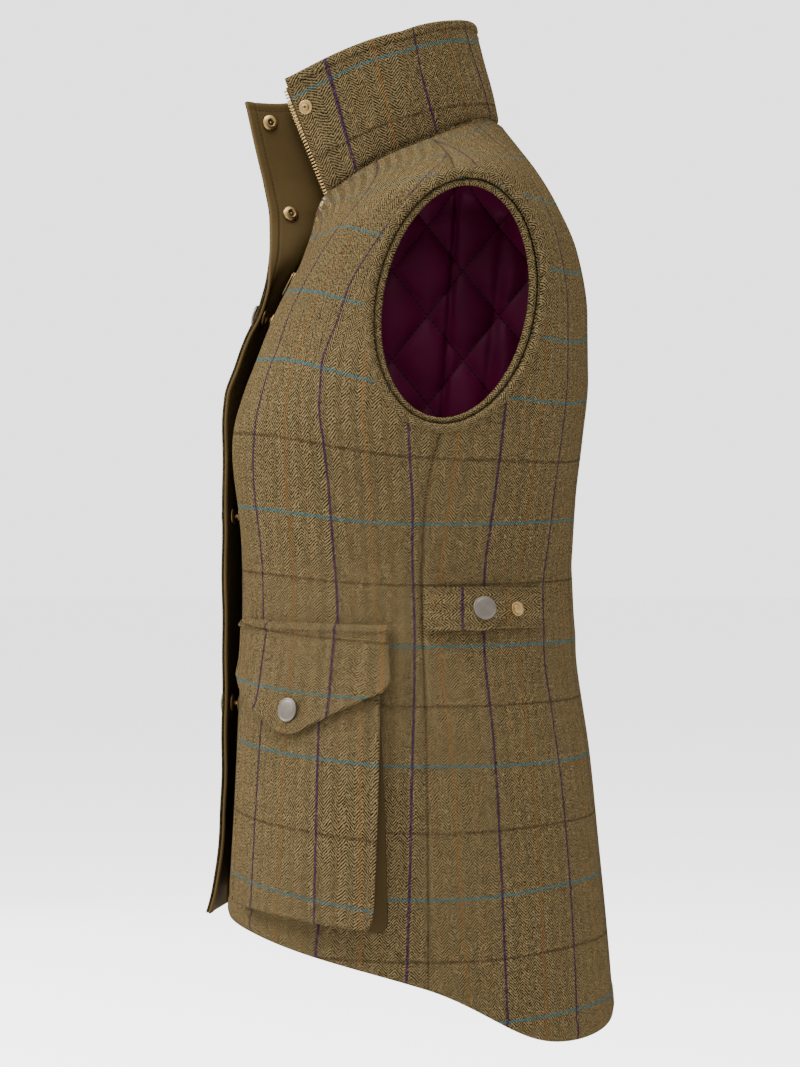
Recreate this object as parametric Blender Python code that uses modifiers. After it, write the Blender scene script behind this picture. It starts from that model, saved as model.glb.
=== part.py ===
# Fitted tweed shooting gilet with a stand collar, worn form, hollow inside.
# The wearer faces -Y, the wearer's left is +X, and the origin is the middle of the neck base.
import bmesh
import bpy
import numpy as np
from mathutils import Matrix, Vector
from mathutils.bvhtree import BVHTree

MM = 0.001
GAP = 0.3          # between neighbouring pieces, mm
TWEED = 1.8        # wall of the body panels, mm
LINING = 1.4       # plain wall of the lining, mm
LINING_DROP = 2.2  # from the panel's inside to the lining, mm
QUILT = 1.3        # how far a quilted diamond's middle stands up, mm

# Rings of the left half from the hem to the collar's top, mm: half the width, where the side, the
# front and the back are, the height at five angles from the centre front, and how much the ring is
# squared at the front and the back.
RING_COLUMNS = ("half", "y_side", "y_front", "y_back", "z_0", "z_45", "z_90", "z_135", "z_180", "flat")
RINGS = (
    (193, 18, -130, 158.5, -558, -563, -589, -631, -620, 0.30),
    (190, 18, -127, 150, -500, -503, -514, -535, -535, 0.30),
    (182, 17, -123, 139.5, -425, -427, -430, -434, -436, 0.32),
    (168, 15, -120, 129.5, -362, -362, -362, -362, -362, 0.36),
    (155, 14, -119, 127, -304, -304, -304, -304, -304, 0.40),
    (161, 17, -118, 129.5, -254, -254, -254, -254, -254, 0.42),
    (172, 24, -117, 134.5, -207, -207, -207, -207, -207, 0.40),
    (174, 36, -113, 139, -174, -166, -152, -157, -160, 0.30),
    (174, 44, -105, 138.5, -143, -130, -102, -110, -115, 0.20),
    (173, 42, -95, 131, -115, -97, -58, -64, -70, 0.18),
    (167, 35, -84, 117, -92, -70, -27, -31, -37, 0.18),
    (130, 28, -75, 103, -73, -50, -11, -8, -11, 0.20),
    (94, 17, -70, 88.5, -55, -35, -1, 10, 10, 0.22),
    (60, 5, -74, 73, -36, -24, 8, 29, 30, 0.25),
    (60, 0, -116, 55, 50, 58, 91, 102, 104, 0.25),
)
NECK, TOP = 13, 14          # the neck seam's ring and the collar's top ring
SEAM_STEP = 0.005           # the part of the collar's height that its seam gap takes
# The bust: how far it stands out, where its middle is and how wide and tall it is.
BUST = {"out": 15.0, "angle": 31.0, "z": -212.0, "wide": 24.0, "tall": 62.0}
# Soft flutes of the skirt at the back and side: depth at the hem, and how many go round.
FLUTE = {"depth": 2.6, "count": 7.0, "fades_at": 3.2}
# The hem drops quickly behind the side seam: how far, where and over how many degrees.
HEM_DIP = {"drop": 10.0, "angle": 114.0, "wide": 18.0}
# The front edge's distance from the middle at each ring, mm.
EDGE = ((0, 6.5), (9.7, 6.5), (10.4, 8.0), (11, 17), (12, 31), (13, 42), (14, 43))
SIDE_SEAM = ((0, 90.0), (4, 90.0), (6.3, 89.0))
SHOULDER_SEAM = ((9.9, 91.0), (11, 94.0), (12, 98.0), (13, 101.0))
# The armhole, drawn on the side view: middle, half-width, half-height and how far its foot leans.
ARMHOLE = {"y": 47.5, "z": -114.2, "half_y": 58.0, "half_z": 86.2, "lean": 19.0}
# The turned edge outside it and the facing inside it: width, wall and distance from the panel.
BAND = {"wide": 5.0, "thick": 1.5, "edge": 0.9, "seat": 0.45}
FACING = {"into": 4.6, "under": 3.4, "past": 0.6, "thick": 1.5, "clear": 2.1, "rolled": 0.8}
COLLAR = {"wall": 2.4, "band_wall": 3.4, "band_out": 0.5, "band_from": 13.9, "rows": 5}
LINING_EDGE = 10.0          # the lining starts this far from the front edge, mm
LINING_HEM = 0.3            # and this many rings up from the hem
# The zip: the rings it starts and ends at, how far the teeth reach past the front edge, how far the
# tape goes under it, their walls, and how high the teeth stand over the tape.
ZIP = {
    "foot": 0.25, "head": 13.93, "meeting": 6.3, "under": 3.0, "tape_wall": 0.8,
    "teeth": 2.1, "teeth_wall": 2.4, "proud": 0.8, "collar_deeper": 1.2,
}
SLIDER = {
    "ring": 10.3, "wide": 8.0, "long": 11.0, "thick": 2.6, "edge": 0.5,
    "pin_up": 2.5, "tab_wide": 4.6, "tab_long": 18.0, "tab_thick": 1.2, "tab_head": 0.8,
}
# The storm placket's free edge down its length, mm, with the ring that carries each row.
PLACKET_COLUMNS = ("ring", "x", "y", "z")
PLACKET = (
    (0.05, 29, -145.5, -557),
    (0.32, 29, -141, -541),
    (1.18, 30, -135, -487),
    (1.80, 30, -133.5, -440),
    (4.00, 30, -133.5, -304),
    (6.00, 30, -133.5, -207),
    (6.95, 29.5, -132, -176),
    (7.70, 28, -124, -152),
    (8.45, 26, -116, -130),
    (9.15, 22, -108, -112),
    (10.2, 12, -102, -88),
    (11.5, -6, -100, -63),
    (12.4, -20, -100.5, -39),
    (13.1, -27, -105, -14),
    (13.4, -29, -111, 12),
    (13.94, -31, -120, 51),
)
# The placket's walls, the room under it, how far it is sewn under the right front's edge, and how
# much higher it rolls over the slider.
PLACKET_WALL = {"outer": 2.0, "facing": 1.6, "clear": 0.9, "attached": 18.0, "over_slider": 11.0}
# The placket's section: past the edge it bends, then rolls over the zip, then falls to its free
# edge. Distances are mm from the edge and up from the front, the rest are shares.
ROLL = {
    "bend": 2.0, "bend_up": 1.0, "bend_room": 0.35, "over": 7.0, "over_up": 2.4,
    "straight": 0.5, "towards_free": 0.38, "late": 0.55, "bow": 0.18,
}
ROLL_PLACES = (0.0, 0.30, 0.52, 0.76, 1.0)
SLIDER_ROOM = {"lower": 0.5, "spread": 1.1}
# Snaps down the placket: height of each, mm, how far from the placket's free edge, and its ring.
SNAP_HEIGHTS = (36.5, -34, -118, -262, -404)
SNAP_IN = 16.0
SNAP = {
    "cap": 8.6, "cap_high": 2.4, "socket": 6.3, "socket_high": 2.2, "hole": 3.3,
    "stud": 5.4, "post": 1.9, "stud_high": 2.0, "foot": 0.6, "neck": 1.2, "tip": 0.2,
    "enters": 0.9,
}
# A low dome's profile as shares of its radius and height, from its top to the middle of its foot.
DOME = ((0, 1), (0.55, 0.94), (0.9, 0.7), (1, 0.3), (1, 0), (0, 0))
CLOSED_BELOW = -200         # the placket is fastened below this height, mm
STUD_FROM_EDGE = 8.6
# The bellows pocket's corners on the panel: degrees round and height, mm.
POCKET = {
    "front_top": (27, -347), "front_foot": (26, -544), "side_top": (79, -350), "side_foot": (81.5, -556),
    "inset_top": 2.5, "inset_foot": 12.0, "stand_top": 4.0, "stand_front": 9.0, "stand_side": 17.0,
    "crown": 4.0, "wall": 1.7, "across": 165.0, "down": 198.0,
    "corner": 0.09, "corner_in": 0.35, "clear": 0.8,
}
BAG_ROWS = (1.0, 0.985, 0.94, 0.82, 0.66, 0.5, 0.33, 0.16, 0.0)
# The gusset's way round the pocket: rows down a side, its foot, and its wall as a share of the
# way to the pocket's middle.
GUSSET = {
    "side": (0.0, 0.2, 0.4, 0.6, 0.8, 0.92), "foot": 0.985, "in": 0.03, "wall": 0.018, "middle": (0.5, 0.45),
}
# The pocket's flap: share of the pocket's width, then its lower edge as a share of the pocket's height.
FLAP_EDGE = ((0, 0.18), (0.06, 0.215), (0.52, 0.375), (0.61, 0.375), (0.94, 0.25), (1, 0.215))
FLAP = {
    "top": -0.055, "over": 0.02, "wall": 1.8, "clear": 0.7, "seat": 0.8, "sewn_to": 0.035,
    "ridge": 1.4, "ridge_at": -0.035, "ridge_wide": 0.025,
}
FLAP_ROWS = (1.0, 0.8, 0.6, 0.4, 0.22, 0.1, 0.0)
FLAP_CAP = (0.565, 0.29)     # the place of the flap's cap, across and down the pocket
# Waist tab and the tab under it, on the side view, mm.
TAB = {
    "y0": 16.0, "y1": 69.0, "z": -330.0, "high": 31.0, "wall": 2.0, "rise": 2.3, "risen_before": 8.0,
    "clear": 1.15, "point": 12.0, "narrows": 0.62, "cap_y": 55.5,
}
UNDER_TAB = {"y0": 44.0, "y1": 96.0, "z": -329.0, "high": 29.0, "wall": 1.7, "point": 0.0}
POST = {"y": 79.0, "wide": 5.2, "high": 2.2}
ROWS = {"skirt": 10, "arm": 12, "shoulder": 4}
LINING_ROWS = {"skirt": 9, "arm": 12, "shoulder": 4}
COLUMNS = {"front": 11, "back": 16, "lining_front": 7, "lining_back": 12, "collar": 26}
SEAM_BENDS_FROM = 4.5       # the ring where the side seam starts to turn to the armhole's foot

COLOURS = {
    "tweed": ((0.205, 0.150, 0.072), 0.92, 0.0),
    "tweed_edge": ((0.160, 0.118, 0.060), 0.92, 0.0),
    "moleskin": ((0.078, 0.054, 0.022), 0.85, 0.0),
    "plum_satin": ((0.050, 0.004, 0.018), 0.38, 0.0),
    "brass": ((0.56, 0.40, 0.17), 0.32, 1.0),
    "old_nickel": ((0.30, 0.26, 0.20), 0.38, 1.0),
}


def along(table, at, column=1):
    """A smooth value between the rows of a table, by cubic pieces that don't overshoot."""
    x = np.array([row[0] for row in table], float)
    y = np.array([row[column] for row in table], float)
    rise = np.diff(y) / np.diff(x)
    steady = rise[:-1] * rise[1:] > 0
    inner = np.where(steady, 2 * rise[:-1] * rise[1:] / np.where(steady, rise[:-1] + rise[1:], 1), 0)
    slope = np.concatenate([rise[:1], inner, rise[-1:]])
    at = np.clip(np.asarray(at, float), x[0], x[-1])
    i = np.clip(np.searchsorted(x, at, side="right") - 1, 0, len(x) - 2)
    step = x[i + 1] - x[i]
    s = (at - x[i]) / step
    return (
        y[i] * (1 + 2 * s) * (1 - s) ** 2
        + y[i + 1] * s ** 2 * (3 - 2 * s)
        + step * (slope[i] * s * (1 - s) ** 2 - slope[i + 1] * s ** 2 * (1 - s))
    )


def ring_value(name, ring):
    """One of the rings' columns at any ring number up to the neck."""
    column = RING_COLUMNS.index(name)
    return along([(i, row[column]) for i, row in enumerate(RINGS[:TOP])], ring)


def round_height(angle, heights):
    """The height round a ring from its five heights, level at the middles of front and back."""
    place = np.arccos(np.clip(np.cos(angle), -1, 1)) / (np.pi / 4)
    i = np.clip(place.astype(int), 0, 3)
    s = place - i
    level = [heights[0], *heights, heights[4]]
    slopes = [0 * heights[0]] + [(level[k + 2] - level[k]) / 2 for k in range(1, 4)] + [0 * heights[0]]
    value = np.zeros(np.broadcast(angle, heights[0]).shape)
    for k in range(4):
        piece = (
            heights[k] * (1 + 2 * s) * (1 - s) ** 2
            + heights[k + 1] * s ** 2 * (3 - 2 * s)
            + slopes[k] * s * (1 - s) ** 2
            - slopes[k + 1] * s ** 2 * (1 - s)
        )
        value = np.where(i == k, piece, value)
    return value


def ring_points(angle, value):
    """Points of a ring: a squared oval whose heights go round it."""
    c, flat = np.cos(angle), value("flat")
    squared = np.abs(c) * (1 + flat * (1 - np.abs(c)))
    x = value("half") * np.sin(angle)
    reach = np.where(c > 0, value("y_front"), value("y_back")) - value("y_side")
    y = value("y_side") + reach * squared
    z = round_height(angle, [value(name) for name in ("z_0", "z_45", "z_90", "z_135", "z_180")])
    return np.stack(np.broadcast_arrays(x, y, z), -1)


def surface(angle, ring):
    """The garment's outer surface in mm at an angle from the centre front and a ring number."""
    angle, ring = np.broadcast_arrays(np.asarray(angle, float), np.asarray(ring, float))
    low = np.minimum(ring, NECK)
    points = ring_points(angle, lambda name: ring_value(name, low))
    folded = np.arccos(np.cos(angle))
    side = (np.degrees(folded) - BUST["angle"]) / BUST["wide"]
    up = (points[..., 2] - BUST["z"]) / BUST["tall"]
    points[..., 1] -= BUST["out"] * np.exp(-side ** 2 - up ** 2)
    fade = np.clip(1 - low / FLUTE["fades_at"], 0, 1) ** 1.5
    wave = FLUTE["depth"] * fade * np.cos(FLUTE["count"] * folded) * np.sin(folded / 2) ** 2
    points[..., 0] += wave * np.sin(angle)
    points[..., 1] -= wave * np.cos(angle)
    dip = ((np.degrees(folded) - HEM_DIP["angle"]) / HEM_DIP["wide"]) ** 2
    points[..., 2] -= HEM_DIP["drop"] * np.exp(-dip) * np.clip(1 - low, 0, 1)
    base = ring_points(angle, lambda name: RINGS[NECK][RING_COLUMNS.index(name)] + 0 * angle)
    top = ring_points(angle, lambda name: RINGS[TOP][RING_COLUMNS.index(name)] + 0 * angle)
    share = np.clip(ring - NECK, 0, 1)[..., None]
    return np.where(share > 0, base + (top - base) * share, points)


def frame_at(angle, ring):
    """Points, unit normals facing out, unit directions round, and mm to a radian."""
    step = 1e-3
    angle, ring = np.broadcast_arrays(np.asarray(angle, float), np.asarray(ring, float))
    low, high = np.where(ring > NECK - step, ring, ring - step), ring + step
    high = np.where((ring <= NECK) & (high > NECK), ring, high)
    low = np.where(ring >= TOP - step, ring - step, low)
    high = np.where(ring >= TOP - step, ring, high)
    low = np.where(high <= low, ring - step, low)
    points = surface(angle, ring)
    across = surface(angle + step, ring) - surface(angle - step, ring)
    up = surface(angle, high) - surface(angle, low)
    normal = np.cross(across, up)
    unit = [d / np.linalg.norm(d, axis=-1, keepdims=True) for d in (normal, across, up)]
    return points, unit[0], unit[1], np.linalg.norm(across, axis=-1) / (2 * step)


def moved_out(angle, ring, distance):
    """Surface points moved along their normals by a distance in mm."""
    points, normal, _, _ = frame_at(angle, ring)
    return points + normal * np.broadcast_to(distance, points.shape[:-1])[..., None]


def locate(y, z):
    """The angle and ring of the left side's point that the side view shows at y and z."""
    y, z = np.broadcast_arrays(np.asarray(y, float), np.asarray(z, float))
    angle, ring = np.full(y.shape, 1.5), np.interp(z, (-592, -304, -207, -27), (0.0, 4.0, 6.0, 10.0))
    step = 1e-4
    for _ in range(40):
        here = surface(angle, ring)[..., 1:]
        by_angle = (surface(angle + step, ring)[..., 1:] - here) / step
        by_ring = (surface(angle, ring + step)[..., 1:] - here) / step
        miss = np.stack([y, z], -1) - here
        size = by_angle[..., 0] * by_ring[..., 1] - by_angle[..., 1] * by_ring[..., 0]
        turn = (miss[..., 0] * by_ring[..., 1] - miss[..., 1] * by_ring[..., 0]) / size
        climb = (by_angle[..., 0] * miss[..., 1] - by_angle[..., 1] * miss[..., 0]) / size
        angle = np.clip(angle + np.clip(turn, -0.15, 0.15), 0.02, 3.1)
        ring = np.clip(ring + np.clip(climb, -0.4, 0.4), 0, NECK - 0.01)
    return angle, ring


def armhole(turn, grow=0.0):
    """The armhole's edge: turn is 0 at its foot and a quarter at its front."""
    a = ARMHOLE
    y = a["y"] - (a["half_y"] + grow) * np.sin(turn) - a["lean"] * (1 + np.cos(turn)) / 2
    return locate(y, a["z"] - (a["half_z"] + grow) * np.cos(turn))


def edge_angle(ring, beyond=0.0):
    """The left front edge's angle, or of a line a distance beyond it towards the middle."""
    ring = np.asarray(ring, float)
    half = np.where(ring > NECK, RINGS[TOP][0], ring_value("half", np.minimum(ring, NECK)))
    edge = np.arcsin(along(EDGE, ring) / half)
    shift = beyond / frame_at(edge, ring)[3]
    for _ in range(3):
        shift = beyond / frame_at(edge - shift / 2, ring)[3]
    return edge - shift


def outer_rows(side, lower, grow=0.0, rows=ROWS):
    """Rings of a panel's rows and the angle where each ends: side seam, armhole, shoulder seam."""
    turn = np.linspace(0, np.pi, rows["arm"] + 1) * (1 if side == "front" else -1)
    angle_arm, ring_arm = armhole(turn, grow)
    ring_skirt = np.linspace(lower, ring_arm[0], rows["skirt"] + 1)[:-1]
    angle_skirt = np.radians(along(SIDE_SEAM, ring_skirt))
    blend = np.clip((ring_skirt - SEAM_BENDS_FROM) / (ring_arm[0] - SEAM_BENDS_FROM), 0, 1) ** 2
    angle_skirt += (angle_arm[0] - angle_skirt) * blend
    climb = np.linspace(0, 1, rows["shoulder"] + 1)[1:] ** 1.5
    ring_top = ring_arm[-1] + (NECK - ring_arm[-1]) * climb
    angle_top = np.radians(along(SHOULDER_SEAM, ring_top))
    ring = np.concatenate([ring_skirt, ring_arm, ring_top])
    angle = np.concatenate([angle_skirt, angle_arm, angle_top])
    seam = np.ones(len(ring))
    seam[rows["skirt"] + 1:rows["skirt"] + rows["arm"]] = 0
    shift = seam * (GAP / 2) / frame_at(angle, ring)[3]
    return ring, angle + (-shift if side == "front" else shift)


def grid_of(start, end, ring, columns):
    """Angles and rings of a panel's grid, a row for each ring from start to end."""
    share = np.linspace(0, 1, columns + 1)
    angle = start[:, None] + (end - start)[:, None] * share
    return angle, np.broadcast_to(ring[:, None], angle.shape)


def front_grid(columns, beyond=0.0, lower=0.0, grow=0.0, rows=ROWS):
    ring, end = outer_rows("front", lower, grow, rows)
    return grid_of(edge_angle(ring, beyond), end, ring, columns)


def back_grid(columns, lower=0.0, grow=0.0, rows=ROWS):
    ring, start = outer_rows("back", lower, grow, rows)
    return grid_of(start, 2 * np.pi - start, ring, columns)


def material(name):
    found = bpy.data.materials.get(name)
    if found is None:
        colour, rough, metal = COLOURS[name.split("-")[1]]
        found = bpy.data.materials.new(name)
        found.use_nodes = True
        shader = found.node_tree.nodes["Principled BSDF"]
        shader.inputs["Base Color"].default_value = (*colour, 1)
        shader.inputs["Roughness"].default_value = rough
        shader.inputs["Metallic"].default_value = metal
    return found


def make_object(name, points, faces, colour, smooth=True, origin=(0, 0, 0)):
    """A closed body from points in mm and its faces, with its own material."""
    mesh = bpy.data.meshes.new(name)
    place = np.asarray(origin, float)
    mesh.from_pydata(((np.asarray(points) - place) * MM).tolist(), [], [list(map(int, f)) for f in faces])
    mesh.polygons.foreach_set("use_smooth", [smooth] * len(mesh.polygons))
    mesh.materials.append(material(f"{name}-{colour}"))
    made = bpy.data.objects.new(name, mesh)
    made.location = place * MM
    collection.objects.link(made)
    return made


def wall(name, outer, inner, colour, closed=False, cut_at_crossings=False):
    """A wall between two grids of points: two faces and the rim that joins them."""
    rows, columns = outer.shape[:2]
    index = np.arange(rows * columns).reshape(rows, columns)
    if closed:
        index = np.hstack([index, index[:, :1]])
    a, b, c, d = index[:-1, :-1], index[:-1, 1:], index[1:, 1:], index[1:, :-1]
    quads = np.stack([a, b, c, d], -1).reshape(-1, 4)
    back = rows * columns
    if cut_at_crossings:
        r, k = np.indices(a.shape)
        even = ((r + k) % 2 == 0).ravel()
        first = np.where(even[:, None], quads[:, [0, 1, 2]], quads[:, [0, 1, 3]])
        second = np.where(even[:, None], quads[:, [0, 2, 3]], quads[:, [1, 2, 3]])
        skin = np.vstack([first, second]).tolist()
    else:
        skin = quads.tolist()
    faces = skin + [[i + back for i in (face[0], *face[:0:-1])] for face in skin]
    faces += rim(index[0], back, False) + rim(index[-1], back, True)
    if not closed:
        faces += rim(index[:, 0], back, True) + rim(index[:, -1], back, False)
    points = np.vstack([outer.reshape(-1, 3), inner.reshape(-1, 3)])
    return make_object(name, points, faces, colour)


def rim(edge, back, turned):
    """The faces along one edge of a wall, between its two skins."""
    faces = [[p, p + back, q + back, q] for p, q in zip(edge[:-1], edge[1:])]
    return [face[::-1] for face in faces] if turned else faces


def mirrored(grid):
    """The same grid of points on the wearer's right, still facing out."""
    return grid[:, ::-1] * (-1, 1, 1)


def both_sides(name, outer, inner, colour, **options):
    """A wall on the wearer's left and its mirror image on the right."""
    wall(f"{name}_left", outer, inner, colour, **options)
    wall(f"{name}_right", mirrored(outer), mirrored(inner), colour, **options)


def offset_wall(name, angle, ring, top, bottom, colour, sides=True, **options):
    """A wall between two distances from the garment's surface."""
    outer, inner = moved_out(angle, ring, top), moved_out(angle, ring, bottom)
    (both_sides if sides else wall)(name, outer, inner, colour, **options)


def panels():
    offset_wall("front", *front_grid(COLUMNS["front"]), 0.0, -TWEED, "tweed")
    offset_wall("back", *back_grid(COLUMNS["back"]), 0.0, -TWEED, "tweed", sides=False)


def linings():
    """Quilted linings: each crossing of the stitches is low, each diamond's middle is raised."""
    top = -(TWEED + LINING_DROP)
    grow = FACING["under"] + 0.7
    columns = COLUMNS["lining_front"], COLUMNS["lining_back"]
    for name, grid, sides in (
        ("lining_front", front_grid(columns[0], -LINING_EDGE, LINING_HEM, grow, LINING_ROWS), True),
        ("lining_back", back_grid(columns[1], LINING_HEM, grow, LINING_ROWS), False),
    ):
        r, k = np.indices(grid[0].shape)
        raised = np.where((r + k) % 2 == 1, QUILT, 0.0)
        raised[[0, -1]] = 0
        raised[:, [0, -1]] = 0
        offset_wall(
            name, *grid, top, top - LINING - raised, "plum_satin", sides=sides, cut_at_crossings=True
        )


def loop_rows(grows):
    """Closed rows round the armhole, one for each distance from its edge."""
    count = 2 * ROWS["arm"]
    turn = -np.arange(count) * 2 * np.pi / count
    rows = [armhole(turn, grow) for grow in grows]
    return np.stack([row[0] for row in rows]), np.stack([row[1] for row in rows])


def armhole_edges():
    """The turned and stitched edge on the outside, and the facing that shows inside it."""
    angle, ring = loop_rows((BAND["wide"], BAND["wide"] / 2, 0.0))
    rise = np.array([BAND["edge"], BAND["thick"], BAND["edge"]])[:, None] + BAND["seat"]
    offset_wall("armhole_band", angle, ring, rise, BAND["seat"], "tweed_edge", closed=True)
    angle, ring = loop_rows((FACING["under"], -FACING["past"], -FACING["into"]))
    under = TWEED + FACING["clear"]
    top = np.array([-under, -under, -under + FACING["rolled"]])[:, None]
    offset_wall("armhole_facing", angle, ring, top, -under - FACING["thick"], "tweed_edge", closed=True)


def stand_collar():
    """The stand and the stitched band along its top, both open at the front."""
    band = COLLAR["band_from"]
    for name, low, high, thick, out, rows in (
        ("collar", NECK + SEAM_STEP, band, COLLAR["wall"], 0.0, COLLAR["rows"]),
        ("collar_band", band + SEAM_STEP, TOP, COLLAR["band_wall"], COLLAR["band_out"], 2),
    ):
        ring = np.linspace(low, high, rows)
        start = edge_angle(ring)
        grid = grid_of(start, 2 * np.pi - start, ring, COLUMNS["collar"])
        offset_wall(name, *grid, out, out - thick, "tweed", sides=False)


def zip_rings():
    """The rings of the front panel's rows and then of the collar's, from the zip's foot to its head."""
    panel = outer_rows("front", 0.0)[0]
    collar = np.linspace(NECK + SEAM_STEP, ZIP["head"], COLLAR["rows"])[1:]
    return np.concatenate([[ZIP["foot"]], panel[panel > ZIP["foot"] + 0.2], collar])


def kept_left(points):
    """Points held clear of the middle, so that the two sides of the zip don't meet."""
    return np.concatenate([np.maximum(points[..., :1], GAP / 2 + 0.01), points[..., 1:]], -1)


def zips():
    """Tapes under the front edges and a plain strip for each row of teeth."""
    ring = zip_rings()
    deeper = (COLLAR["wall"] - TWEED + ZIP["collar_deeper"]) * np.clip(ring - NECK + 1, 0, 1)
    deep = (TWEED + 2 * GAP + deeper)[:, None]
    meeting = ZIP["meeting"]
    for name, first, last, columns, top, thick, colour in (
        ("zip_tape", meeting - ZIP["teeth"] - GAP, -ZIP["under"], 2, 0.0, ZIP["tape_wall"], "moleskin"),
        ("zip_teeth", meeting, meeting - ZIP["teeth"], 1, ZIP["proud"], ZIP["teeth_wall"], "brass"),
    ):
        grid = grid_of(edge_angle(ring, first), edge_angle(ring, last), ring, columns)
        outer, inner = moved_out(*grid, top - deep), moved_out(*grid, top - deep - thick)
        both_sides(name, kept_left(outer), kept_left(inner), colour)


def placket_rows(count):
    """The placket's rows: its free edge, and the ring on the right front that carries it."""
    index = np.linspace(0, len(PLACKET) - 1, count)
    rows = [(i, *row) for i, row in enumerate(PLACKET)]
    ring, *free = [along(rows, index, 1 + PLACKET_COLUMNS.index(name)) for name in PLACKET_COLUMNS]
    return ring, np.stack(free, -1)


def placket_surface(ring, free, share):
    """Outer surface of the placket: from the right front over the zip to the free edge."""
    def right(beyond, out):
        return moved_out(edge_angle(ring, beyond), ring, out) * (-1, 1, 1)
    lift = PLACKET_WALL["outer"] + PLACKET_WALL["facing"] + GAP + PLACKET_WALL["clear"]
    by_slider = (ring - SLIDER["ring"] + SLIDER_ROOM["lower"]) / SLIDER_ROOM["spread"]
    room = PLACKET_WALL["over_slider"] * np.exp(-by_slider ** 2)
    start = right(-PLACKET_WALL["attached"], lift)
    bend = right(-ROLL["bend"], lift + ROLL["bend_up"] + ROLL["bend_room"] * room)
    over = right(ROLL["over"], lift + ROLL["over_up"] + room)
    line = bend + ROLL["towards_free"] * (free - bend)
    middle = over + ROLL["straight"] * (line - over)
    rest = middle + ROLL["late"] * (free - middle) + ROLL["bow"] * (middle - bend)
    knots, where = np.stack([start, bend, middle, rest, free]), np.array(ROLL_PLACES)
    slope = np.gradient(knots, where, axis=0)
    out = np.zeros((len(ring), len(share), 3))
    for column, s in enumerate(share):
        i = min(np.searchsorted(where, s, side="right") - 1, 3)
        step = where[i + 1] - where[i]
        w = (s - where[i]) / step
        out[:, column] = (
            knots[i] * (1 + 2 * w) * (1 - w) ** 2
            + knots[i + 1] * w ** 2 * (3 - 2 * w)
            + step * (slope[i] * w * (1 - w) ** 2 - slope[i + 1] * w ** 2 * (1 - w))
        )
    return out


def grid_normals(points):
    """Unit normals of a grid of points whose rows climb."""
    across, up = np.gradient(points, axis=1), np.gradient(points, axis=0)
    normal = np.cross(across, up)
    return normal / np.linalg.norm(normal, axis=-1, keepdims=True)


def placket_grid(rows=22, columns=5):
    ring, free = placket_rows(rows + 1)
    outer = placket_surface(ring, free, np.linspace(0, 1, columns + 1))
    return outer, grid_normals(outer)


def placket():
    """The storm placket: a tweed wall and its facing, sewn to the right front."""
    outer, normal = placket_grid()
    tweed, facing = PLACKET_WALL["outer"], PLACKET_WALL["facing"]
    wall("placket_outer", outer, outer - normal * tweed, "tweed")
    first = outer - normal * (tweed + GAP)
    wall("placket_facing", first, first - normal * facing, "moleskin")


def turned(name, profile, centre, axis, colour, steps=12):
    """A turned piece: a profile of radius and height in mm, screwed round an axis through a point."""
    mesh = bpy.data.meshes.new(name)
    count = len(profile)
    closed = profile[0][0] > 0 and profile[-1][0] > 0
    edges = [(i, (i + 1) % count) for i in range(count if closed else count - 1)]
    mesh.from_pydata([(radius * MM, 0, high * MM) for radius, high in profile], edges, [])
    mesh.materials.append(material(f"{name}-{colour}"))
    made = bpy.data.objects.new(name, mesh)
    screw = made.modifiers.new("turn", "SCREW")
    screw.axis = "Z"
    screw.steps = screw.render_steps = steps
    screw.use_merge_vertices = True
    screw.merge_threshold = 0.00001
    screw.use_smooth_shade = True
    made.rotation_mode = "QUATERNION"
    made.rotation_quaternion = Vector(axis).to_track_quat("Z", "Y")
    made.location = np.asarray(centre) * MM
    collection.objects.link(made)
    return made


def domed(radius, high):
    """A low dome's profile, from its top down its side to the middle of its foot."""
    return [(radius * across, high * up) for across, up in DOME]


def resting_height(node, point, normal, radius):
    """How far out along its normal a round foot of a radius clears a node, in mm."""
    mesh = bpy.data.objects[node].data
    mesh.calc_loop_triangles()
    corners = [tuple(corner.vertices) for corner in mesh.loop_triangles]
    tree = BVHTree.FromPolygons([vertex.co for vertex in mesh.vertices], corners)
    side = np.cross(normal, (0.0, 0.0, 1.0))
    side /= np.linalg.norm(side)
    turn = np.arange(24)[:, None] * np.pi / 12
    foot = radius * (np.cos(turn) * side + np.sin(turn) * np.cross(normal, side))
    far, heights = 30.0, []
    for spot in np.vstack([foot, 0.7 * foot, 0.35 * foot, 0 * foot[:1]]):
        hit = tree.ray_cast(Vector((point + spot + far * normal) * MM), Vector(-normal))
        if hit[3] is not None:
            heights.append(far - hit[3] / MM)
    return max(heights) + 1.5 * GAP


def nearest_row(points, z):
    return int(np.argmin(np.abs(points[:, 2] - z)))


def snaps():
    """Five snaps: cap outside the placket, socket on its facing, stud on the left front."""
    ring, free = placket_rows(600)
    for number, height in enumerate(SNAP_HEIGHTS, 1):
        i = nearest_row(free, height)
        strip = placket_surface(ring[i - 2:i + 3], free[i - 2:i + 3], np.linspace(0, 1, 61))
        k = int(np.argmin(np.abs(np.linalg.norm(strip[2] - strip[2, -1], axis=-1) - SNAP_IN)))
        point, normal = strip[2, k], grid_normals(strip)[2, k]
        cap = domed(SNAP["cap"], SNAP["cap_high"])
        seat = resting_height("placket_outer", point, normal, SNAP["cap"])
        turned(f"snap_cap_{number}", cap, point + normal * seat, normal, "old_nickel")
        high, hole, wide = SNAP["socket_high"], SNAP["hole"], SNAP["socket"]
        profile = ((hole, high), (0.75 * wide, high), (wide, 0.6 * high), (wide, 0), (hole, 0))
        under = point - normal * resting_height("placket_facing", point, -normal, wide)
        turned(f"snap_socket_{number}", profile, under, -normal, "brass")
        stud(number, height, under - normal * high)


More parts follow.
